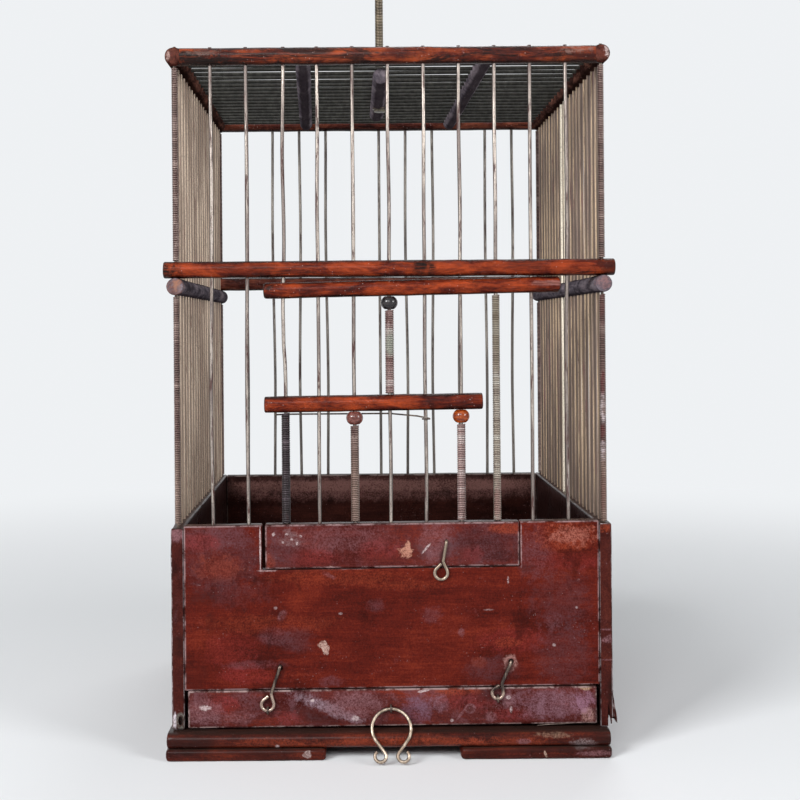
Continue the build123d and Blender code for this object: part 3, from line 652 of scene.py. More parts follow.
board_dark, board_red, board_worn = (0.042, 0.005, 0.0032), (0.088, 0.009, 0.005), (0.155, 0.02, 0.009)
lilac, pink_lilac = (0.12, 0.045, 0.052), (0.19, 0.088, 0.098)
bare_chip, white_mark, hot_orange = (0.46, 0.31, 0.26), (0.46, 0.36, 0.36), (0.25, 0.042, 0.018)
rose_red, dull_violet = (0.185, 0.022, 0.02), (0.072, 0.03, 0.035)
board_edge_wear_and_glint_tone = (0.3, 0.19, 0.19)
front_wood = varnished_board(
    "front_board_varnish", along_x, board_dark, board_red, board_worn, lilac, 0.7, 0.45,
    [
        (dull_violet, 0.46, -85, 100, 42, 32, 0.6), (lilac, 0.5, -88, 109, 34, 12, 0.6),
        (rose_red, 0.5, -95, 107, 18, 8, 0.4), (hot_orange, 0.34, -86, 94, 22, 12, 0.7),
        (dull_violet, 0.31, -80, 82, 34, 14, 0.7), (near_black, 0.37, -94, 79, 15, 8, 0.5),
        (near_black, 0.31, -90, 67, 5, 11, 0.5), (hot_orange, 0.25, -60, 66, 60, 9, 0.7),
        (hot_orange, 0.28, -25, 89, 62, 8, 0.7), (hot_orange, 0.25, 5, 85, 40, 5, 0.7),
        (lilac, 0.53, -57.5, 59.5, 17, 8.5, 0.35), (dull_violet, 0.43, -48, 58, 16, 12, 0.5),
        (pink_lilac, 0.7, -54.6, 70.2, 3.6, 5.8, 0.2, -35),
        (board_red, 0.62, -53.6, 69.4, 3.0, 4.6, 0.1, -35), (rose_red, 0.53, -72, 40.5, 27, 9, 0.4),
        (lilac, 0.5, -68, 45.8, 30, 4, 0.5), (lilac, 0.5, -30.5, 37.5, 12, 5, 0.5),
        (rose_red, 0.31, -80, 53, 26, 14, 0.7), (near_black, 0.28, -98, 41, 14, 14, 0.6),
        (lilac, 0.5, 72, 100, 17, 26, 0.6), (hot_orange, 0.7, 88, 108.5, 27, 14, 0.6),
        ((0.34, 0.13, 0.1), 0.6, 90, 109, 19, 9, 0.9), (rose_red, 0.43, 88, 96, 26, 9, 0.6),
        (near_black, 0.43, 67.5, 93, 9, 3.5, 0.4), (dull_violet, 0.37, 84, 78, 28, 26, 0.7),
        (rose_red, 0.4, 61, 57, 34, 12, 0.7), (hot_orange, 0.37, 58, 56, 14, 5, 0.6),
        (hot_orange, 0.5, 43, 46.2, 7, 5, 0.5), (dull_violet, 0.5, 50, 43, 26, 12, 0.5),
        (dull_violet, 0.43, 85, 50, 26, 30, 0.7), (lilac, 0.43, 80, 66, 8, 9, 0.6),
        # The near black spots at the two hook tips are painted shade at the hook holes.
        ((0.36, 0.19, 0.17), 0.62, 58.7, 45.8, 7.2, 7.9, 0.4, 0, 0.4),
        (near_black, 0.56, 58.2, 44.6, 4.2, 5.4, 0.3, 0, 0.4), (lilac, 0.37, 20, 70, 10, 8, 0.8),
        (pink_lilac, 0.43, 34.6, 60.8, 3.2, 4.0, 0.5), (lilac, 0.37, -8, 75, 9, 6, 0.7),
        (white_mark, 0.8, 57.9, 87, 0.9, 3.4, 0.2), (white_mark, 0.3, 48.5, 72.3, 5, 0.8, 0.3),
        (white_mark, 0.7, 80.5, 54.5, 1.6, 1.6, 0.3), (white_mark, 0.6, 91.9, 73.1, 1.2, 1.2, 0.3),
        (white_mark, 0.6, -25.5, 71.0, 1.8, 1.3, 0.3), (white_mark, 0.6, -57.8, 74, 1.6, 1.4, 0.4),
        (pink_lilac, 0.37, -31, 90, 7, 2.2, 0.6, -25), (near_black, 0.43, -55.7, 43, 4.6, 8, 0.5, -18),
        (bare_chip, 0.95, -34.8, 55.6, 3.6, 4.0, 0.8, 0, 0.3),
        (bare_chip, 0.95, -33.2, 53.4, 3.6, 4.6, 0.8, 0, 0.3),
        # The pale lines along the notch's edges are painted highlights.
        (white_mark, 0.9, -65.2, 104.5, 0.9, 21, 0.25, 0, 0.4), (board_edge_wear_and_glint_tone, 0.8, -62, 92.6, 9, 0.9, 0.7),
        (board_edge_wear_and_glint_tone, 0.8, -25, 93.3, 26, 0.8, 0.8), (board_edge_wear_and_glint_tone, 0.7, 30, 93.6, 34, 0.7, 0.9),
        (board_edge_wear_and_glint_tone, 0.9, 64.6, 105, 0.8, 20, 0.5, 0, 0.4),
    ],
    (plank_low, plank_high, 0.8 * mm, plank_lean), board_edge_wear_and_glint_tone,
)
strip_wood = varnished_board(
    "door_strip_varnish", along_x, board_dark, (0.086, 0.015, 0.013), board_worn, lilac, 0.6, 0.6,
    [
        (pink_lilac, 0.3, -28, 108, 56, 12, 0.7), (rose_red, 0.42, -40, 99, 24, 8, 0.6),
        (dull_violet, 0.49, -54, 104, 16, 20, 0.5), (hot_orange, 0.35, -61, 97, 6, 8, 0.5),
        (rose_red, 0.42, -5, 103, 20, 10, 0.6), (pink_lilac, 0.45, 22, 105, 17, 18, 0.6),
        (near_black, 0.35, 12, 101, 12, 8, 0.7), (dull_violet, 0.56, 46, 104, 34, 17, 0.6),
        (hot_orange, 0.59, 57, 112.6, 17, 5, 0.5), (rose_red, 0.35, 40, 100, 10, 8, 0.6),
        (white_mark, 0.12, -50, 109, 10, 8, 1.1), (white_mark, 0.8, 17.5, 103.2, 6.2, 1.1, 0.5, 50),
        ((0.42, 0.2, 0.14), 0.9, 7.4, 101.6, 6.0, 5.6, 0.8, 0, 0.3),
        ((0.42, 0.2, 0.14), 0.9, 8.4, 104.4, 2.4, 4.0, 0.7, 0, 0.3),
        (near_black, 0.56, 25.6, 99, 2.6, 9, 0.4, -8), (white_mark, 0.6, -52, 110.6, 1.3, 1.2, 0.5),
        (white_mark, 0.6, -49.6, 108, 1.5, 1.2, 0.5), (white_mark, 0.7, -47, 106, 1.2, 1.4, 0.5),
        (white_mark, 0.6, -45, 109.6, 1.1, 1.1, 0.5), (white_mark, 0.7, -54, 106.6, 1.1, 1.3, 0.5),
        (white_mark, 0.7, -58.5, 110.5, 1.6, 1.6, 0.8), (bare_chip, 0.5, -30, 93.8, 3, 1.6, 0.8),
    ],
    (strip_low - lowered, strip_high - lowered, 0.9 * mm, strip_lean), board_edge_wear_and_glint_tone,
)
tray_wood = varnished_board(
    "tray_front_varnish", along_x, board_dark, (0.08, 0.016, 0.014), board_worn, (0.135, 0.06, 0.07),
    0.58, 0.62,
    [
        (rose_red, 0.6, -84, 26, 15, 9, 0.5), (pink_lilac, 0.6, -93, 22, 18, 12, 0.6),
        (white_mark, 0.9, -93, 24.6, 5, 2.4, 0.7), (pink_lilac, 0.52, -76, 20, 14, 6, 0.6),
        ((0.34, 0.26, 0.31), 0.44, -31, 23.6, 34, 5.5, 0.6, -23),
        (pink_lilac, 0.64, -19, 26, 27, 13, 0.5), (near_black, 0.38, -40, 20, 26, 7, 0.5, -16),
        (white_mark, 0.9, -18.4, 19, 3.2, 2.4, 0.6), (white_mark, 0.8, -40, 28, 2.4, 1.6, 0.6),
        (rose_red, 0.41, -52, 19, 14, 7, 0.6), ((0.16, 0.085, 0.125), 0.55, 12, 22, 14, 14, 0.6),
        ((0.2, 0.11, 0.14), 0.5, 24, 26, 8, 8, 0.6), (hot_orange, 0.64, 33, 32.3, 22, 4.4, 0.5),
        (white_mark, 0.8, 15.5, 32.3, 7, 1.2, 0.5, 14), (rose_red, 0.45, 38, 27, 24, 9, 0.6),
        (rose_red, 0.45, 58, 20, 20, 7, 0.6), (pink_lilac, 0.68, 48.9, 19, 5, 5, 0.5),
        (pink_lilac, 0.68, 57.9, 27, 6, 8, 0.5), (white_mark, 1.0, 58.9, 22.6, 1.2, 3.6, 0.2),
        (white_mark, 0.9, 57.6, 28.6, 2.2, 1.6, 0.5),
        (pink_lilac, 0.71, 38.5, 23.3, 5.6, 5.2, 0.2, 0, 0.3),
        (board_dark, 0.75, 38.5, 23.3, 3.2, 3.0, 0.1, 0, 0.3),
        (pink_lilac, 0.6, 34, 20.5, 1.4, 7, 0.3, -35), (white_mark, 0.8, 29.4, 17.4, 1.6, 1.6, 0.4),
        ((0.19, 0.095, 0.12), 0.56, 80, 25, 36, 14, 0.7),
        ((0.36, 0.23, 0.14), 0.9, 96, 33.2, 5, 2.4, 0.5), (pink_end, 0.68, 97, 20, 6, 8, 0.4),
        ((0.24, 0.12, 0.17), 0.6, 95, 26, 10, 10, 0.6), (near_black, 0.45, 46, 30, 9, 7, 0.5),
    ],
    (tray_low, tray_high, 0.9 * mm, tray_lean), (0.34, 0.24, 0.23),
)
side_wood = varnished_board(
    "side_board_varnish", along_y, (0.026, 0.005, 0.004), (0.052, 0.0095, 0.007), (0.09, 0.019, 0.012),
    dull_violet, 0.64, 0.5,
    [
        (pink_lilac, 0.8, -106.5, 110.5, 7, 6, 0.5), (pink_lilac, 0.7, 107, 62, 8, 0.9, 0.4),
        (pink_lilac, 0.8, 107, 57, 7, 3.6, 0.7, 19), (pink_lilac, 0.6, 107, 47, 8, 0.8, 0.4),
        (hot_orange, 0.6, 106, 112.5, 6, 4, 0.4), (near_black, 1.0, 110.5, 27, 7, 24, 0.4),
        # Near the foot of the left board, the white spot is a painted glint and the near black over the
        # drilled hole is painted shade.
        (near_black, 0.7, -106, 55, 7, 10, 0.5), ((0.6, 0.54, 0.58), 1.0, -108.3, 17.8, 1.6, 9, 0.3),
        ((0.17, 0.17, 0.15), 0.7, -105.4, 18, 5, 8.5, 0.3, 0, 0.4),
        (near_black, 0.95, -105.3, 18.4, 2.6, 5.4, 0.2, 0, 0.4),
    ],
    (*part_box("right_side_board"), 0.55 * mm, 0.0, True), (0.5, 0.43, 0.44), inner_shade=True,
)
# A darker copy of the board varnish: painted shade inside the box; the two pale bands across the top of its
# inner face are painted light falling over the front board.
back_wood = varnished_board(
    "back_board_varnish", along_x, (0.01, 0.0035, 0.003), (0.024, 0.007, 0.0055), (0.05, 0.014, 0.01),
    (0.055, 0.03, 0.03), 0.66, 0.3,
    [
        ((0.23, 0.115, 0.098), 0.8, 0, 107.5, 300, 7, 0.25),
        ((0.14, 0.066, 0.06), 0.65, 0, 105.5, 300, 14, 0.4),
    ],
    (*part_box("back_board"), 0.8 * mm), (0.2, 0.15, 0.14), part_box("back_board")[0].y,
)
base_wood = varnished_board(
    "base_varnish", along_x, (0.016, 0.003, 0.002), (0.05, 0.0075, 0.0045), (0.13, 0.021, 0.009),
    dull_violet, 0.68, 0.5,
    [
        # The orange bands along the nose are painted light, and the near black lines low down are painted
        # shade in the crease under the nose.
        (hot_orange, 0.62, 0, 8.4, 92, 5.5, 0.6), (hot_orange, 0.45, 54, 8.4, 44, 5, 0.7),
        (hot_orange, 0.4, -62, 8.8, 32, 5, 0.7), (near_black, 0.6, -100, 9, 26, 10, 0.6),
        (near_black, 0.55, 100, 9.5, 22, 8, 0.6), ((0.2, 0.15, 0.15), 0.85, 93.5, 7.4, 12, 5, 0.5),
        ((0.22, 0.13, 0.09), 0.7, 80, 12, 15, 2.6, 0.7), (near_black, 0.55, -75, 4.6, 80, 2.2, 0.5),
        (near_black, 0.55, 70, 4.6, 76, 2.2, 0.5),
        ((0.28, 0.2, 0.19), 0.8, -42.5, 3.4, 4.0, 3.4, 0.6, 0, 0.3),
        ((0.34, 0.23, 0.18), 0.9, 74.8, 2.6, 1.2, 3.6, 0.4, 20, 0.3),
        (white_mark, 0.8, -57, 7.2, 2.0, 1.8, 0.5), (pink_lilac, 0.7, 64, 8.8, 6, 3, 0.6),
        (pink_lilac, 0.6, 100, 3, 16, 2.4, 0.7),
    ],
    front=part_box("base_board")[0].y, coat=0.12,
)
split_wood = varnished_board(
    "split_wood", along_x, (0.08, 0.055, 0.045), (0.2, 0.15, 0.13), (0.38, 0.31, 0.28),
    (0.2, 0.15, 0.13), 0.7, 0.3,
)
bare_wood = varnished_board(
    "tray_inside_wood", along_y, (0.045, 0.024, 0.014), (0.095, 0.055, 0.032), (0.16, 0.1, 0.06),
    (0.15, 0.13, 0.11), 0.66, 0.5,
)

varnish_splash = (0.05, 0.01, 0.008)
front_wire_metal = drawn_wire(
    "front_wire_metal", (0.2, 0.165, 0.15), (0.47, 0.41, 0.36), varnish_splash, 0.53,
    varnished_above=0.3525, flank=0,
)
left_wire_metal = drawn_wire(
    "left_wire_metal", (0.47, 0.345, 0.265), (0.96, 0.76, 0.59), (0.16, 0.085, 0.065), 0.58, 0.2,
    band=0.05, flank=1, edge_shade_from=0.68,
)
right_wire_metal = drawn_wire(
    "right_wire_metal", (0.28, 0.198, 0.158), (0.78, 0.565, 0.37), (0.13, 0.062, 0.055), 0.57, 0.2,
    band=0.05, flank=1, edge_shade_from=0.66, glint_at=cage_middle + side_pitch / 2,
)
back_wire_metal = drawn_wire(
    "back_wire_metal", (0.13, 0.115, 0.105), (0.3, 0.27, 0.24), (0.045, 0.02, 0.016), 0.55
)
# A near black copy of the wire: painted shade on the roof, which the lamps reach only from below.
roof_wire_metal = drawn_wire(
    "roof_wire_metal", (0.012, 0.011, 0.009), (0.031, 0.03, 0.025), (0.01, 0.007, 0.005), 0.56, 0.5
)
brass_metal = drawn_wire(
    "brass_wire_metal", (0.24, 0.185, 0.14), (0.52, 0.42, 0.33), (0.08, 0.05, 0.035), 0.6, 0.8, 0.34,
    flank=1, edge_shade_from=0.5, shade_away_from_front=True,
)
dull_metal = drawn_wire(
    "dull_wire_metal", (0.085, 0.062, 0.055), (0.22, 0.17, 0.13), (0.02, 0.01, 0.008), 0.53, 0.7, 0.38
)
hook_metal = drawn_wire(
    "hook_wire_metal", (0.05, 0.034, 0.03), (0.3, 0.23, 0.18), (0.018, 0.009, 0.008), 0.5, 0.8, 0.3,
    brass_below=31 * mm, flank=1, edge_shade_from=0.5, shade_away_from_front=True,
)
hanger_metal = drawn_wire(
    "hanger_wire_metal", (0.12, 0.11, 0.09), (0.26, 0.23, 0.17), (0.03, 0.02, 0.015), 0.58
)

rose_winding = wound_cover(
    "rose_winding",
    ((0.36, (0.05, 0.018, 0.015)), (0.5, (0.125, 0.06, 0.05)), (0.66, (0.34, 0.24, 0.21))),
    (0.06, 0.012, 0.01), 0.52, below=(150 * mm, (0.3, 0.2, 0.15), 0.4),
    spots=[
        ((0.72, 0.62, 0.64), 1.0, 103, 172, 12, 15, 0.7),
        ((0.13, 0.01, 0.014), 0.95, 103, 186, 12, 14, 0.7),
        ((0.13, 0.01, 0.014), 0.95, 103, 160, 12, 9, 0.7),
        ((0.66, 0.57, 0.6), 1.0, 103, 150, 12, 11, 0.7),
        ((0.12, 0.012, 0.014), 0.9, 103, 128, 12, 24, 0.7),
        ((0.12, 0.018, 0.018), 0.8, 103, 222, 12, 20, 0.8),
    ],
)
bead_winding = wound_cover(
    "bead_winding", ((0.36, (0.13, 0.055, 0.05)), (0.5, (0.31, 0.19, 0.18)), (0.62, (0.55, 0.46, 0.44))),
    (0.1, 0.022, 0.02), 0.56, spots=[((0.34, 0.37, 0.31), 0.85, 0, 205, 9, 13, 0.3)],
)
pale_winding = wound_cover(
    "pale_winding",
    ((0.36, (0.15, 0.11, 0.085)), (0.5, (0.33, 0.28, 0.225)), (0.64, (0.52, 0.49, 0.43))),
    (0.1, 0.045, 0.038), 0.58,
    spots=[
        ((0.24, 0.1, 0.09), 0.7, 53.8, 124, 7, 22, 0.5),
        ((0.17, 0.14, 0.08), 0.6, 53.8, 214, 7, 44, 0.5),
    ],
)
black_winding = wound_cover(
    "black_winding",
    ((0.38, (0.008, 0.005, 0.007)), (0.52, (0.022, 0.015, 0.02)), (0.66, (0.1, 0.075, 0.09))),
    (0.045, 0.013, 0.012), 0.6, turn_highlight=0.07,
)
hanger_winding = wound_cover(
    "hanger_winding",
    ((0.36, (0.065, 0.05, 0.035)), (0.5, (0.2, 0.155, 0.1)), (0.64, (0.38, 0.31, 0.21))),
    (0.04, 0.025, 0.018), 0.62, 0.7, 0.38,
)

brown_glass = pressed_glass("brown_glass", (0.095, 0.026, 0.02), (0.25, 0.086, 0.068), 0.1)
amber_glass = pressed_glass("amber_glass", (0.17, 0.018, 0.003), (0.5, 0.098, 0.012), 0.22)
black_glass = pressed_glass("black_glass", (0.008, 0.007, 0.008), (0.03, 0.026, 0.026), 0.0)


# ---- sticks
def stick_for(
    node, body, wood, rings=36, round_end=0.7 * mm, segments=3, across=True, tilt=0.0, longer=0.0,
    fuller=0.0, skew=(0.0, 0.0), by_height=False,
):
    """A whittled round stick in the place of a solid one: level, rising to the right or skewed."""
    low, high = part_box(node)
    middle, size = (low + high) / 2, high - low
    radius = (size.z if by_height else size.y if across else size.x) / 2
    if across:
        rise = (size.x - 2 * radius * math.sin(tilt)) * math.tan(tilt) / 2
        start = Vector((low.x - longer, middle.y, middle.z - rise))
        end = Vector((high.x + longer, middle.y, middle.z + rise))
    else:
        start = Vector((middle.x + skew[0], low.y, middle.z))
        end = Vector((middle.x + skew[1], high.y, middle.z))
    stick = rod(node.rsplit("_", 1)[0] + "_stick", start, end, radius + fuller, 28)
    cut_along(stick, (end - start).length, rings)
    off_the_bench()
    ease_corners(stick, round_end, segments)
    waver(stick, 0.45 * mm, 14 * mm)
    waver(stick, 0.18 * mm, 4 * mm)
    hand_over(smooth(stick, 50), body, wood, "varnished_wood", node)


for wall, top_wood, middle_wood in (
    ("front", top_stick_across, stick_across),
    ("back", back_stick_across, back_stick_across),
):
    stick_for(f"{wall}_top_rail", "cage", top_wood, round_end=0.3 * mm, longer=2.0 * mm, fuller=0.25 * mm)
    stick_for(f"{wall}_middle_rail", "cage", middle_wood, fuller=0.1 * mm)
for side, skew in (("left", (3.5 * mm, -2.4 * mm)), ("right", (4.0 * mm, 1.0 * mm))):
    stick_for(
        f"{side}_top_rail", "cage", roof_side_stick, 36, 2.6 * mm, 5,
        across=False, fuller=-0.1 * mm, by_height=True,
    )
    stick_for(f"{side}_middle_rail", "cage", stick_back_to_front, across=False, fuller=0.1 * mm)
    stick_for(
        f"{side}_roof_bar", "cage", stick_back_to_front, 30, 0.3 * mm,
        across=False, skew=skew, by_height=True,
    )
stick_for("hanger_block", "cage", stick_back_to_front, 20, across=False)
stick_for("door_middle_rail", "door", stick_across, 22, tilt=math.radians(0.55), fuller=0.1 * mm)
stick_for("door_top_rail", "door", stick_across, 28, 1.3 * mm, tilt=math.radians(0.9))


# ---- boards
def squared_board(name, low, high):
    """A board between two opposite corners."""
    bpy.ops.mesh.primitive_cube_add(size=1, location=(low + high) / 2, scale=high - low)
    return settle(name)


def finish_board(plank, low, high, ease=0.7 * mm):
    """Cuts a board's skin into small cells, rounds its corners and gives it a hand-planed face."""
    cut_into_cells(plank, low, high)
    ease_corners(plank, ease, 2)
    limit = math.radians(20)
    pick_edges(plank, lambda edge: edge.calc_face_angle(0) > limit)
    roughen(0.12 * mm, chance.randrange(1000))
    waver(plank, 0.35 * mm, 22 * mm)
    return smooth(plank, 50)


def drilled(plank, x, z, radius, depth, stretch=1.0):
    """A blind hole into the front face of a board."""
    bpy.ops.mesh.primitive_cylinder_add(
        vertices=20, radius=radius, depth=2 * depth, location=(x, front_face, z), rotation=(math.pi / 2, 0, 0)
    )
    bit = settle("bit")
    bit.data.transform(moved(0, 0, z) @ Matrix.Diagonal((1, 1, stretch, 1)) @ moved(0, 0, -z))
    cut_away(plank, bit)


def sink_to_the_left(plank, low, high, drop):
    """Lowers the left end of a board, less and less towards the right."""
    push(plank, lambda place: place.x < low.x + 0.5 * mm, (0, 0, -drop), high.x - low.x, "LINEAR")


def ragged_shard(name, foot, tip, thick):
    """A long sliver of split wood with a sharp tip."""
    shard = rod(name, foot, tip, thick / 2, 7, 0.12 * thick)
    cut_along(shard, (tip - foot).length, 8, 0.8)
    bpy.ops.mesh.select_all(action="SELECT")
    roughen(0.10 * thick, chance.randrange(1000))
    return smooth(shard, 40)


def split_corner(plank, low, high):
    """Splits the lower front corner of a board and leaves a torn chunk and a thin shard at it."""
    foot = Vector((high.x, low.y, low.z))
    for name, start, end in (
        ("split", (-2.6, -1, -1), (-1.7, 30, 11.5)),
        ("notch_below", (-2.2, -1, -1), (1, 12, 5)),
    ):
        cut_away(plank, squared_board(name, foot + Vector(start) * mm, foot + Vector(end) * mm))
    corner = foot + Vector((0, 1.6, 0)) * mm
    chunk_low, chunk_high = corner + Vector((-2.6, -0.9, 1.6)) * mm, corner + Vector((0.1, 5, 18)) * mm
    chunk = squared_board("torn_chunk", chunk_low, chunk_high)
    cut_across(chunk, about_z, [corner.z + step * mm for step in (4, 7, 10, 13, 16)])
    for below, outwards in ((14, 0.3), (11, 0.5), (8, 0.6), (5, 0.5)):
        push(chunk, lambda place: place.z < corner.z + below * mm, (outwards * mm, 0, 0))
    inner_foot = corner + Vector((0.6, 0, 3)) * mm
    push(chunk, lambda place: place.z < inner_foot.z and place.x < inner_foot.x, (0.8 * mm, 0, 3.4 * mm))
    cut_across(chunk, about_y, [corner.y + mm, corner.y + 3 * mm])
    on_the_bench(chunk, everything=True)
    roughen(0.3 * mm, 5)
    shard_foot, shard_tip = Vector((-2.2, -0.4, 14)) * mm, Vector((-0.8, -1.0, 1.5)) * mm
    shard = ragged_shard("thin_shard", corner + shard_foot, corner + shard_tip, 2.2 * mm)
    return join([plank, chunk, shard], plank.name)


for side in ("left", "right"):
    low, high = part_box(f"{side}_side_board")
    plank = finish_board(squared_board(f"{side}_side_plank", low, high), low, high, 1.1 * mm)
    if side == "left":
        drilled(plank, low.x + 4.2 * mm, low.z + 4.6 * mm, 1.1 * mm, 3 * mm, 2.0)
        worn = Vector((0, low.y + 9 * mm, high.z - 1.5 * mm))
        push(plank, lambda place: place.z > worn.z and place.y < worn.y, (0, 0, -1.4 * mm), 12 * mm)
    else:
        plank = split_corner(plank, low, high)
    hand_over(plank, "cage", side_wood, "varnished_wood", f"{side}_side_board")

front_plank = squared_board("front_plank", plank_low, plank_high)
notch_low = Vector((strip_low.x - 1.75 * mm, plank_low.y - mm, strip_low.z - 0.4 * mm))
notch_high = Vector((strip_high.x + 0.4 * mm, plank_high.y + mm, plank_high.z + mm))
cut_away(front_plank, squared_board("notch", notch_low, notch_high))
finish_board(front_plank, plank_low, plank_high)
for tip_x, tip_z in (left_hook_tip, right_hook_tip):
    drilled(front_plank, tip_x * mm, tip_z * mm, 1.35 * mm, 3.1 * mm)
sink_to_the_left(front_plank, plank_low, plank_high, plank_sink)
hand_over(front_plank, "cage", front_wood, "varnished_wood", "front_board")

for node, name, body, wood, sink in (
    ("back_board", "back_plank", "cage", back_wood, 0),
    ("door_bottom_rail", "door_strip", "door", strip_wood, strip_sink),
    ("tray_front", "tray_front_plank", "tray", tray_wood, tray_sink),
):
    low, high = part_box(node)
    plank = finish_board(squared_board(name, low, high), low, high)
    if sink:
        sink_to_the_left(plank, low, high, sink)
    if body == "door":
        plank.data.transform(moved(0, 0, -strip_drop))
    hand_over(plank, body, wood, "varnished_wood", node)

splinter_foot = Vector((100 * mm, front_face + 0.9 * mm, 16.3 * mm))
splinter_tip = Vector((72 * mm, front_face + 0.9 * mm, 14.4 * mm))
splinter = ragged_shard("tray_splinter", splinter_foot, splinter_tip, 1.5 * mm)
hand_over(splinter, "tray", split_wood, "varnished_wood")


# ---- base and feet
def finish_block(block, node, ease, segments, wave, wave_size):
    """Rounds a block's corners and gives it a hand-worked skin."""
    ease_corners(block, ease, segments)
    cut_into_cells(block, *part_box(node))
    waver(block, wave, wave_size)
    hand_over(smooth(block, 50), "cage", base_wood, "varnished_wood", node)


low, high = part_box("base_board")
base = squared_board("base_plank", low, high)
pick_edges(base, lambda edge: abs(edge.verts[0].co.x - edge.verts[1].co.x) > 0.9 * (high.x - low.x))
bpy.ops.mesh.bevel(offset=0.499 * (high.z - low.z), segments=8, affect="EDGES")
bpy.ops.mesh.select_all(action="SELECT")
bpy.ops.mesh.remove_doubles(threshold=0.05 * mm)
off_the_bench()
finish_block(base, "base_board", 0.7 * mm, 2, 0.6 * mm, 18 * mm)

foot_leg = 15 * mm
for end in ("front", "back"):
    for side in ("left", "right"):
        low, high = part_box(f"foot_{end}_{side}")
        foot = squared_board(f"{end}_{side}_foot", low, high)
        inner_low, inner_high = low - Vector((mm, mm, mm)), high + Vector((mm, mm, mm))
        if side == "left":
            inner_low.x = low.x + foot_leg
        else:
            inner_high.x = high.x - foot_leg
        if end == "front":
            inner_low.y = low.y + foot_leg
        else:
            inner_high.y = high.y - foot_leg
        cut_away(foot, squared_board("inside", inner_low, inner_high))
        finish_block(foot, f"foot_{end}_{side}", 1.9 * mm, 4, 0.4 * mm, 16 * mm)


# ---- straight wires
def upright_wire(name, low, high, radius, bow, rings=16):
    """One upright wire on the middle line, bowed a little between its ends."""
    length = high - low
    wire = rod(name, Vector((0, 0, low)), Vector((0, 0, high)), radius, 10)
    cut_along(wire, length, rings)
    off_the_bench()
    for share, sideways in ((0.3, bow), (0.72, -0.8 * bow)):
        height, near = low + share * length, 0.55 * length / (rings + 1)
        push(wire, lambda place: abs(place.z - height) < near, (sideways, 0, 0), 0.27 * length)
    return smooth(wire, 60)


def copies_of(pattern, name, lays):
    """Copies of one pattern, each turned its own way, so that no two look alike."""
    copies = []
    for number, lay in enumerate(lays):
        copies.append(copy_to(pattern, f"{name}_{number}", lay @ turned_at_random()))
    bpy.data.objects.remove(pattern)
    return join(copies, name)


def over_front(lines, y):
    return [(line * front_pitch, y) for line in lines]


def over_side(x):
    return [(x, cage_middle + line * side_pitch) for line in side_lines]


door_lines = range(-2, 4)
fixed_lines = (-5, -4, 4, 5)
every_line = range(1 - front_bays // 2, front_bays // 2)
side_lines = range(1 - side_bays // 2, side_bays // 2)
corners = [(x, y) for x in (-side_plane, side_plane) for y in (front_plane, back_plane)]
fixed_places, door_places = over_front(fixed_lines, front_plane), over_front(door_lines, front_plane)
back_places = over_front(every_line, back_plane)
left_places, right_places = over_side(-side_plane), over_side(side_plane)
for name, node, body, metal, places, radius, bow in (
    ("fixed_front_wires", "front_wires", "cage", front_wire_metal, fixed_places, wire_radius, 0.5),
    ("upper_front_wires", "front_upper_wires", "cage", front_wire_metal, door_places, wire_radius, 0.35),
    ("door_upright_wires", "door_wires", "door", front_wire_metal, door_places, wire_radius, 0.25),
    ("back_wall_wires", "back_wires", "cage", back_wire_metal, back_places, wire_radius, 0.6),
    ("left_wall_wires", "left_side_wires", "cage", left_wire_metal, left_places, close_wire_radius, 0.12),
    ("right_wall_wires", "right_side_wires", "cage", right_wire_metal, right_places, close_wire_radius, 0.12),
    ("corner_upright_wires", "corner_wires", "cage", dull_metal, corners, corner_wire_radius, 0.1),
):
    low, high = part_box(node)
    pattern = upright_wire("pattern_wire", low.z, high.z, radius, bow * mm)
    wires = copies_of(pattern, name, [moved(x, y) for x, y in places])
    hand_over(wires, body, metal, "aged_wire", node)

low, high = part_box("hinge_wire")
hinge = upright_wire("bent_hinge_wire", low.z, high.z, wire_radius, 0.2 * mm, 30)
for height, sideways, reach in ((220, -0.9, 34), (205, -0.3, 12), (300, -0.6, 40)):
    push(hinge, lambda place: abs(place.z - height * mm) < 5 * mm, (sideways * mm, 0, 0), reach * mm)
hinge.data.transform(moved((low.x + high.x) / 2, front_plane))
hand_over(hinge, "cage", front_wire_metal, "aged_wire", "hinge_wire")

low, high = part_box("roof_wires")
pattern = upright_wire("pattern_wire", low.x, high.x, close_wire_radius, 0.15 * mm)
to_the_side = Matrix.Rotation(math.pi / 2, 4, "Y")
lays = [moved(0, y, (low.z + high.z) / 2) @ to_the_side for x, y in over_side(0)]
hand_over(copies_of(pattern, "roof_net_wires", lays), "cage", roof_wire_metal, "aged_wire", "roof_wires")


# ---- wound sleeves
def winding(name, low, high, outer, sides=6):
    """A close coil of thin wire on the middle line, wound up from the lower end."""
    thickness = winding_pitch / 2
    bpy.ops.mesh.primitive_circle_add(
        vertices=sides,
        radius=thickness,
        fill_type="NOTHING",
        location=(outer - thickness, 0, low + thickness),
        rotation=(math.pi / 2, 0, 0),
    )
    coil = settle(name)
    turns = int((high - low - 2 * thickness) / winding_pitch)
    screw = {"axis": "Z", "angle": 2 * math.pi, "screw_offset": winding_pitch, "iterations": turns}
    modified(coil, "SCREW", steps=16, render_steps=16, **screw)
    turn_out(coil)
    return smooth(coil, 70)


def sleeve_like(node, name, sides=6, lower=0.0):
    low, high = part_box(node)
    coil = winding(name, low.z - lower, high.z, (high.x - low.x) / 2, sides)
    coil.data.transform(moved((low.x + high.x) / 2, (low.y + high.y) / 2))
    return coil


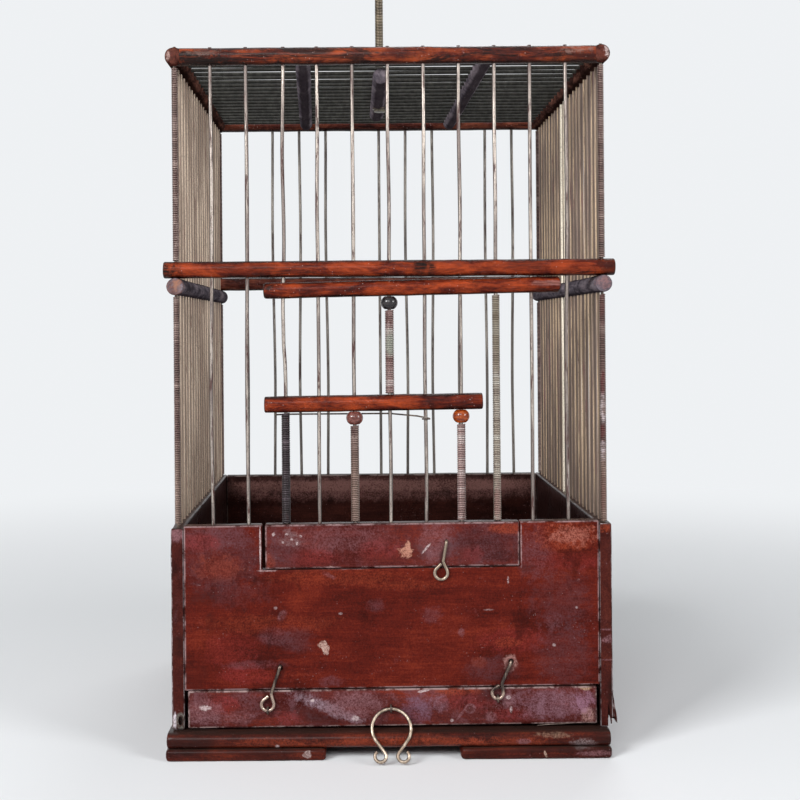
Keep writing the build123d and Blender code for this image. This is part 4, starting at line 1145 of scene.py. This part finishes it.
for node, name, cover, slot, lower in (
    ("hinge_sleeve", "hinge_winding", black_winding, "black_wound_wire", 1.4 * mm),
    ("brown_bead_sleeve", "brown_bead_winding", rose_winding, "wound_wire", 0.7 * mm),
    ("amber_bead_sleeve", "amber_bead_winding", bead_winding, "wound_wire", 0.3 * mm),
    ("black_bead_sleeve", "black_bead_winding", bead_winding, "wound_wire", 0),
    ("tall_sleeve", "tall_winding", pale_winding, "wound_wire", 0.7 * mm),
):
    hand_over(sleeve_like(node, name, lower=lower), "door", cover, slot, node)

for part in ("lower_corner", "upper_corner"):
    low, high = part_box(f"{part}_sleeves")
    pattern = winding("pattern_winding", low.z, high.z, high.x - side_plane)
    coils = copies_of(pattern, f"{part}_windings", [moved(x, y) for x, y in corners])
    hand_over(coils, "cage", rose_winding, "wound_wire", f"{part}_sleeves")

wrap = sleeve_like("hanger_wrap", "hanger_winding_coil", 8)
hand_over(wrap, "hanger", hanger_winding, "brass_wound_wire", "hanger_wrap")

# ---- glass beads
for tint, glass in (("brown", brown_glass), ("amber", amber_glass), ("black", black_glass)):
    low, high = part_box(f"{tint}_bead")
    size = high - low
    # A squat ball with flat ends and a softened rim.
    bpy.ops.mesh.primitive_uv_sphere_add(
        segments=36, ring_count=22, radius=0.5, location=(low + high) / 2,
        scale=(size.x, size.y, 1.16 * size.z),
    )
    ball = settle(f"{tint}_glass_bead")
    for height, up in ((low.z, -1), (high.z, 1)):
        on_the_bench(ball, everything=True)
        bpy.ops.mesh.bisect(plane_co=(0, 0, height), plane_no=(0, 0, up), use_fill=True, clear_outer=True)
        off_the_bench()
    ease_corners(ball, 0.35 * mm, 3, 35)
    turn_out(ball)
    hand_over(smooth(ball, 60), "door", glass, f"{tint}_glass", f"{tint}_bead")


# ---- bent wires
class BentWire:
    """A wire drawn on from its start, straight by straight and bend by bend."""

    def __init__(self, name, start, way, radius, sides=14):
        self.at, self.way = Vector(start), Vector(way).normalized()
        turn = self.way.to_track_quat("Z", "Y").to_euler()
        bpy.ops.mesh.primitive_circle_add(
            vertices=sides, radius=radius, fill_type="NOTHING", location=self.at, rotation=turn
        )
        self.piece = settle(name)
        on_the_bench(self.piece, everything=True)

    def straight(self, length, steps=1):
        for _ in range(steps):
            step = self.way * (length / steps)
            bpy.ops.mesh.extrude_region_move(TRANSFORM_OT_translate={"value": step})
            self.at = self.at + step

    def bend(self, degrees, radius, about, steps=6):
        """Turns by the right hand about an axis; the spin operator counts the other way round."""
        about = Vector(about).normalized()
        inwards = about.cross(self.way).normalized() * (1 if degrees > 0 else -1)
        centre = self.at + inwards * radius
        bpy.ops.mesh.spin(steps=steps, angle=-math.radians(degrees), center=centre, axis=about)
        turn = Matrix.Rotation(math.radians(degrees), 3, about)
        self.at = centre + turn @ (self.at - centre)
        self.way = turn @ self.way

    def done(self):
        off_the_bench()
        turn_out(self.piece)
        return smooth(self.piece, 50)


corner_bend, throat_bend = 1.2 * mm, 1.5 * mm


def pear_eye(wire, corner, eye, eye_radius, neck, closing):
    """From the corner where the wire comes out: down to a throat, then round a pear-shaped eye."""
    down = Vector((eye[0] - corner[0], 0, eye[1] - corner[1]))
    flank = math.asin(eye_radius / neck)
    wire.bend(90, corner_bend, wire.way.cross(down.normalized()))
    trim = throat_bend * math.tan(flank / 2)
    wire.straight(down.length - neck - corner_bend - trim, 3)
    wire.bend(-math.degrees(flank), throat_bend, about_y, 4)
    tangent = math.sqrt(neck * neck - eye_radius * eye_radius)
    wire.straight(tangent - trim, 2)
    wire.bend(180 + 2 * math.degrees(flank), eye_radius, about_y, 22)
    wire.straight(tangent * closing, 2)


latch_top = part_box("door_latch_pin")[1]
latch_corner, latch_eye = (27.4 * mm, 106.7 * mm), (24.6 * mm, 91.0 * mm)
arm_plane = latch_top.y - eye_wire_radius
pin = BentWire("latch_eye_pin", (latch_corner[0], arm_plane, latch_top.z), (0, 0, -1), eye_wire_radius)
pin.straight(latch_top.z - latch_corner[1] - corner_bend, 2)
pin.bend(-90, corner_bend, about_x)
pin.straight(arm_plane - eye_plane - 2 * corner_bend, 2)
pear_eye(pin, latch_corner, latch_eye, 3.2 * mm, 5.6 * mm, 0.72)
hand_over(pin.done(), "door_latch", brass_metal, "brass_wire", "door_latch_pin")

hook_depth = front_face + 2.6 * mm - eye_plane
for side, tip, eye, eye_radius, neck in (
    ("left", left_hook_tip, (-62.0, 26.4), 3.1, 5.4),
    ("right", right_hook_tip, (52.2, 31.2), 2.8, 5.2),
):
    tip, eye = [(x * mm, z * mm) for x, z in (tip, eye)]
    start = (tip[0], eye_plane + hook_depth, tip[1])
    hook = BentWire(f"{side}_hook_wire", start, (0, -1, 0), eye_wire_radius)
    hook.straight(hook_depth - corner_bend, 2)
    pear_eye(hook, tip, eye, eye_radius * mm, neck * mm, 0.6)
    hand_over(hook.done(), f"{side}_hook", hook_metal, "dark_wire", f"{side}_tray_hook")

for part in ("left_hook", "right_hook", "pull"):
    low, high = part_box(f"{part}_staple")
    bow_radius = (high.z - low.z) / 2 - 0.5 * mm
    run = high.y - low.y - 0.5 * mm - bow_radius
    start = ((low.x + high.x) / 2, high.y, high.z - 0.5 * mm)
    bow = BentWire(f"{part}_bow", start, (0, -1, 0), 0.5 * mm, 12)
    bow.straight(run, 2)
    bow.bend(180, bow_radius, about_x, 12)
    bow.straight(run, 2)
    hand_over(bow.done(), "tray", dull_metal, "dark_wire", f"{part}_staple")

# ---- tray pull
# Half an arch, a leg and a curl are bent upright, mirrored and then leant against the tray.
pull_x, pull_y, pull_z = -0.8 * mm, front_face - 1.2 * mm, 23.8 * mm
pull_radius, arch_radius, curl_radius = 0.85 * mm, 9.6 * mm, 2.75 * mm
curl_spread, curl_drop, curl_turn = 5.6 * mm, 22.77 * mm, 230
pull_lean = math.radians(31.0)
run = math.hypot(curl_spread, curl_drop - arch_radius)
slope = math.atan2(arch_radius - curl_drop, curl_spread)
off_angle = math.degrees(slope + math.acos((arch_radius + curl_radius) / run))
leg_length = math.sqrt(run * run - (arch_radius + curl_radius) ** 2)
half_pull = BentWire("pull_wire", (pull_x, pull_y, pull_z), (1, 0, 0), pull_radius)
half_pull.bend(90 - off_angle, arch_radius, about_y, 26)
half_pull.straight(leg_length, 4)
half_pull.bend(off_angle - curl_turn, curl_radius, about_y, 22)
off_the_bench()
pull = half_pull.piece
pull.data.transform(moved(-pull_x, 0))
only_x = (True, False, False)
modified(pull, "MIRROR", use_axis=only_x, use_mirror_merge=True, merge_threshold=0.01 * mm)
turn_out(pull)
lean = Matrix.Rotation(-pull_lean, 4, "X")
pull.data.transform(moved(pull_x, pull_y, pull_z) @ lean @ moved(0, -pull_y, -pull_z))
hand_over(smooth(pull, 50), "pull", brass_metal, "brass_wire", "tray_pull")

# ---- hanger
# A straight stem, a short bend to the right and then the crook to the left.
hanger_low, hanger_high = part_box("hanger_hook")
stem_foot = Vector((-1.7 * mm, (hanger_low.y + hanger_high.y) / 2, hanger_low.z))
hanger_radius, hook_radius, hook_lean, hook_turn = 1.5 * mm, 9.5 * mm, 55, 232
head_radius, head_height, stem_start = 3.4 * mm, 1.4 * mm, 0.4 * mm
lean_share = math.cos(math.radians(hook_lean))
stem_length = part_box("hanger_wrap")[1].z + hanger_radius - hanger_low.z - stem_start
hook = BentWire("hanger_wire", stem_foot + about_z * stem_start, about_z, hanger_radius, 16)
hook.straight(stem_length, 12)
hook.bend(hook_lean, hook_radius * lean_share / (1 - lean_share), about_y, 10)
hook.bend(-hook_turn, hook_radius, about_y, 34)
hook_wire = hook.done()
head = rod("hanger_head", stem_foot, stem_foot + about_z * head_height, head_radius, 28)
ease_corners(head, 0.35 * mm, 3)
hanger_hook = join([hook_wire, smooth(head)], "hanger_hook_wire")
hand_over(hanger_hook, "hanger", hanger_metal, "dark_wire", "hanger_hook")

# ---- solids that stay as they are
for material, kept in (
    (bare_wood, ("tray_floor", "tray_left_side", "tray_right_side", "tray_back")),
    (dull_metal, ("hanger_washer", "tie_wire")),
):
    for node in kept:
        nodes[node].data.materials.clear()
        nodes[node].data.materials.append(material)

# ---- floor, light and camera
pale = (0.86, 0.88, 0.90)
floor_radius, fade_from, fade_to = 6, 0.18, 1.0
room_light = 0.16

bpy.ops.mesh.primitive_circle_add(vertices=96, radius=floor_radius, fill_type="NGON")
floor = settle("floor")
paint = Surface("pale_floor")
paint.set(base_color=pale, roughness=0.9)
paint.gloss(0.1)
far = paint.vector("LENGTH", paint.place).step(fade_from, fade_to)
plain, glow = Value(paint, paint.shader.outputs[0]), paint.node("Emission", {"Color": pale})
paint.put(paint.end, paint.node("MixShader", {0: paint.seen() * far, 1: plain, 2: glow}))
floor.data.materials.append(paint.material)

look_at = Vector((0, 0, 0.2))
for name, place, size, power in (
    ("left_softbox", (-1.15, -1.25, 1.05), 0.7, 30),
    ("right_softbox", (1.3, -0.95, 0.75), 0.6, 12.5),
    ("front_softbox", (-0.35, -1.9, 1.25), 0.8, 12.5),
    ("back_softbox", (0.5, 1.5, 1.5), 0.9, 9.5),
):
    lamp_data = bpy.data.lights.new(name, "AREA")
    lamp_data.shape = "SQUARE"
    lamp_data.size = size
    lamp_data.energy = power
    lamp = bpy.data.objects.new(name, lamp_data)
    lamp.location = place
    lamp.rotation_euler = (look_at - Vector(place)).to_track_quat("-Z", "Y").to_euler()
    bpy.context.scene.collection.objects.link(lamp)

world = bpy.data.worlds.new("studio")
bpy.context.scene.world = world
world.use_nodes = True
sky = Nodes(world.node_tree)
backdrop = world.node_tree.nodes["Background"]
sky.put(backdrop.inputs["Color"], pale)
light = sky.node("MapRange", {"Value": sky.seen(), "To Min": room_light, "To Max": 1.0}, "Result")
sky.put(backdrop.inputs["Strength"], light)

camera_aside, camera_away, camera_height = -18.3 * mm, 620 * mm, 213.3 * mm
camera_roll = math.radians(0.45)
camera_data = bpy.data.cameras.new("camera")
camera = bpy.data.objects.new("camera", camera_data)
bpy.context.scene.collection.objects.link(camera)
camera.location = (camera_aside, front_plane - camera_away, camera_height)
camera.rotation_euler = (math.radians(90), camera_roll, 0)
camera_data.sensor_width = 36
camera_data.lens = 55.8
camera_data.shift_x = 0.059
camera_data.shift_y = -0.091
camera_data.clip_start = 0.05
camera_data.clip_end = 30
bpy.context.scene.camera = camera
bpy.context.scene.view_settings.view_transform = "Standard"
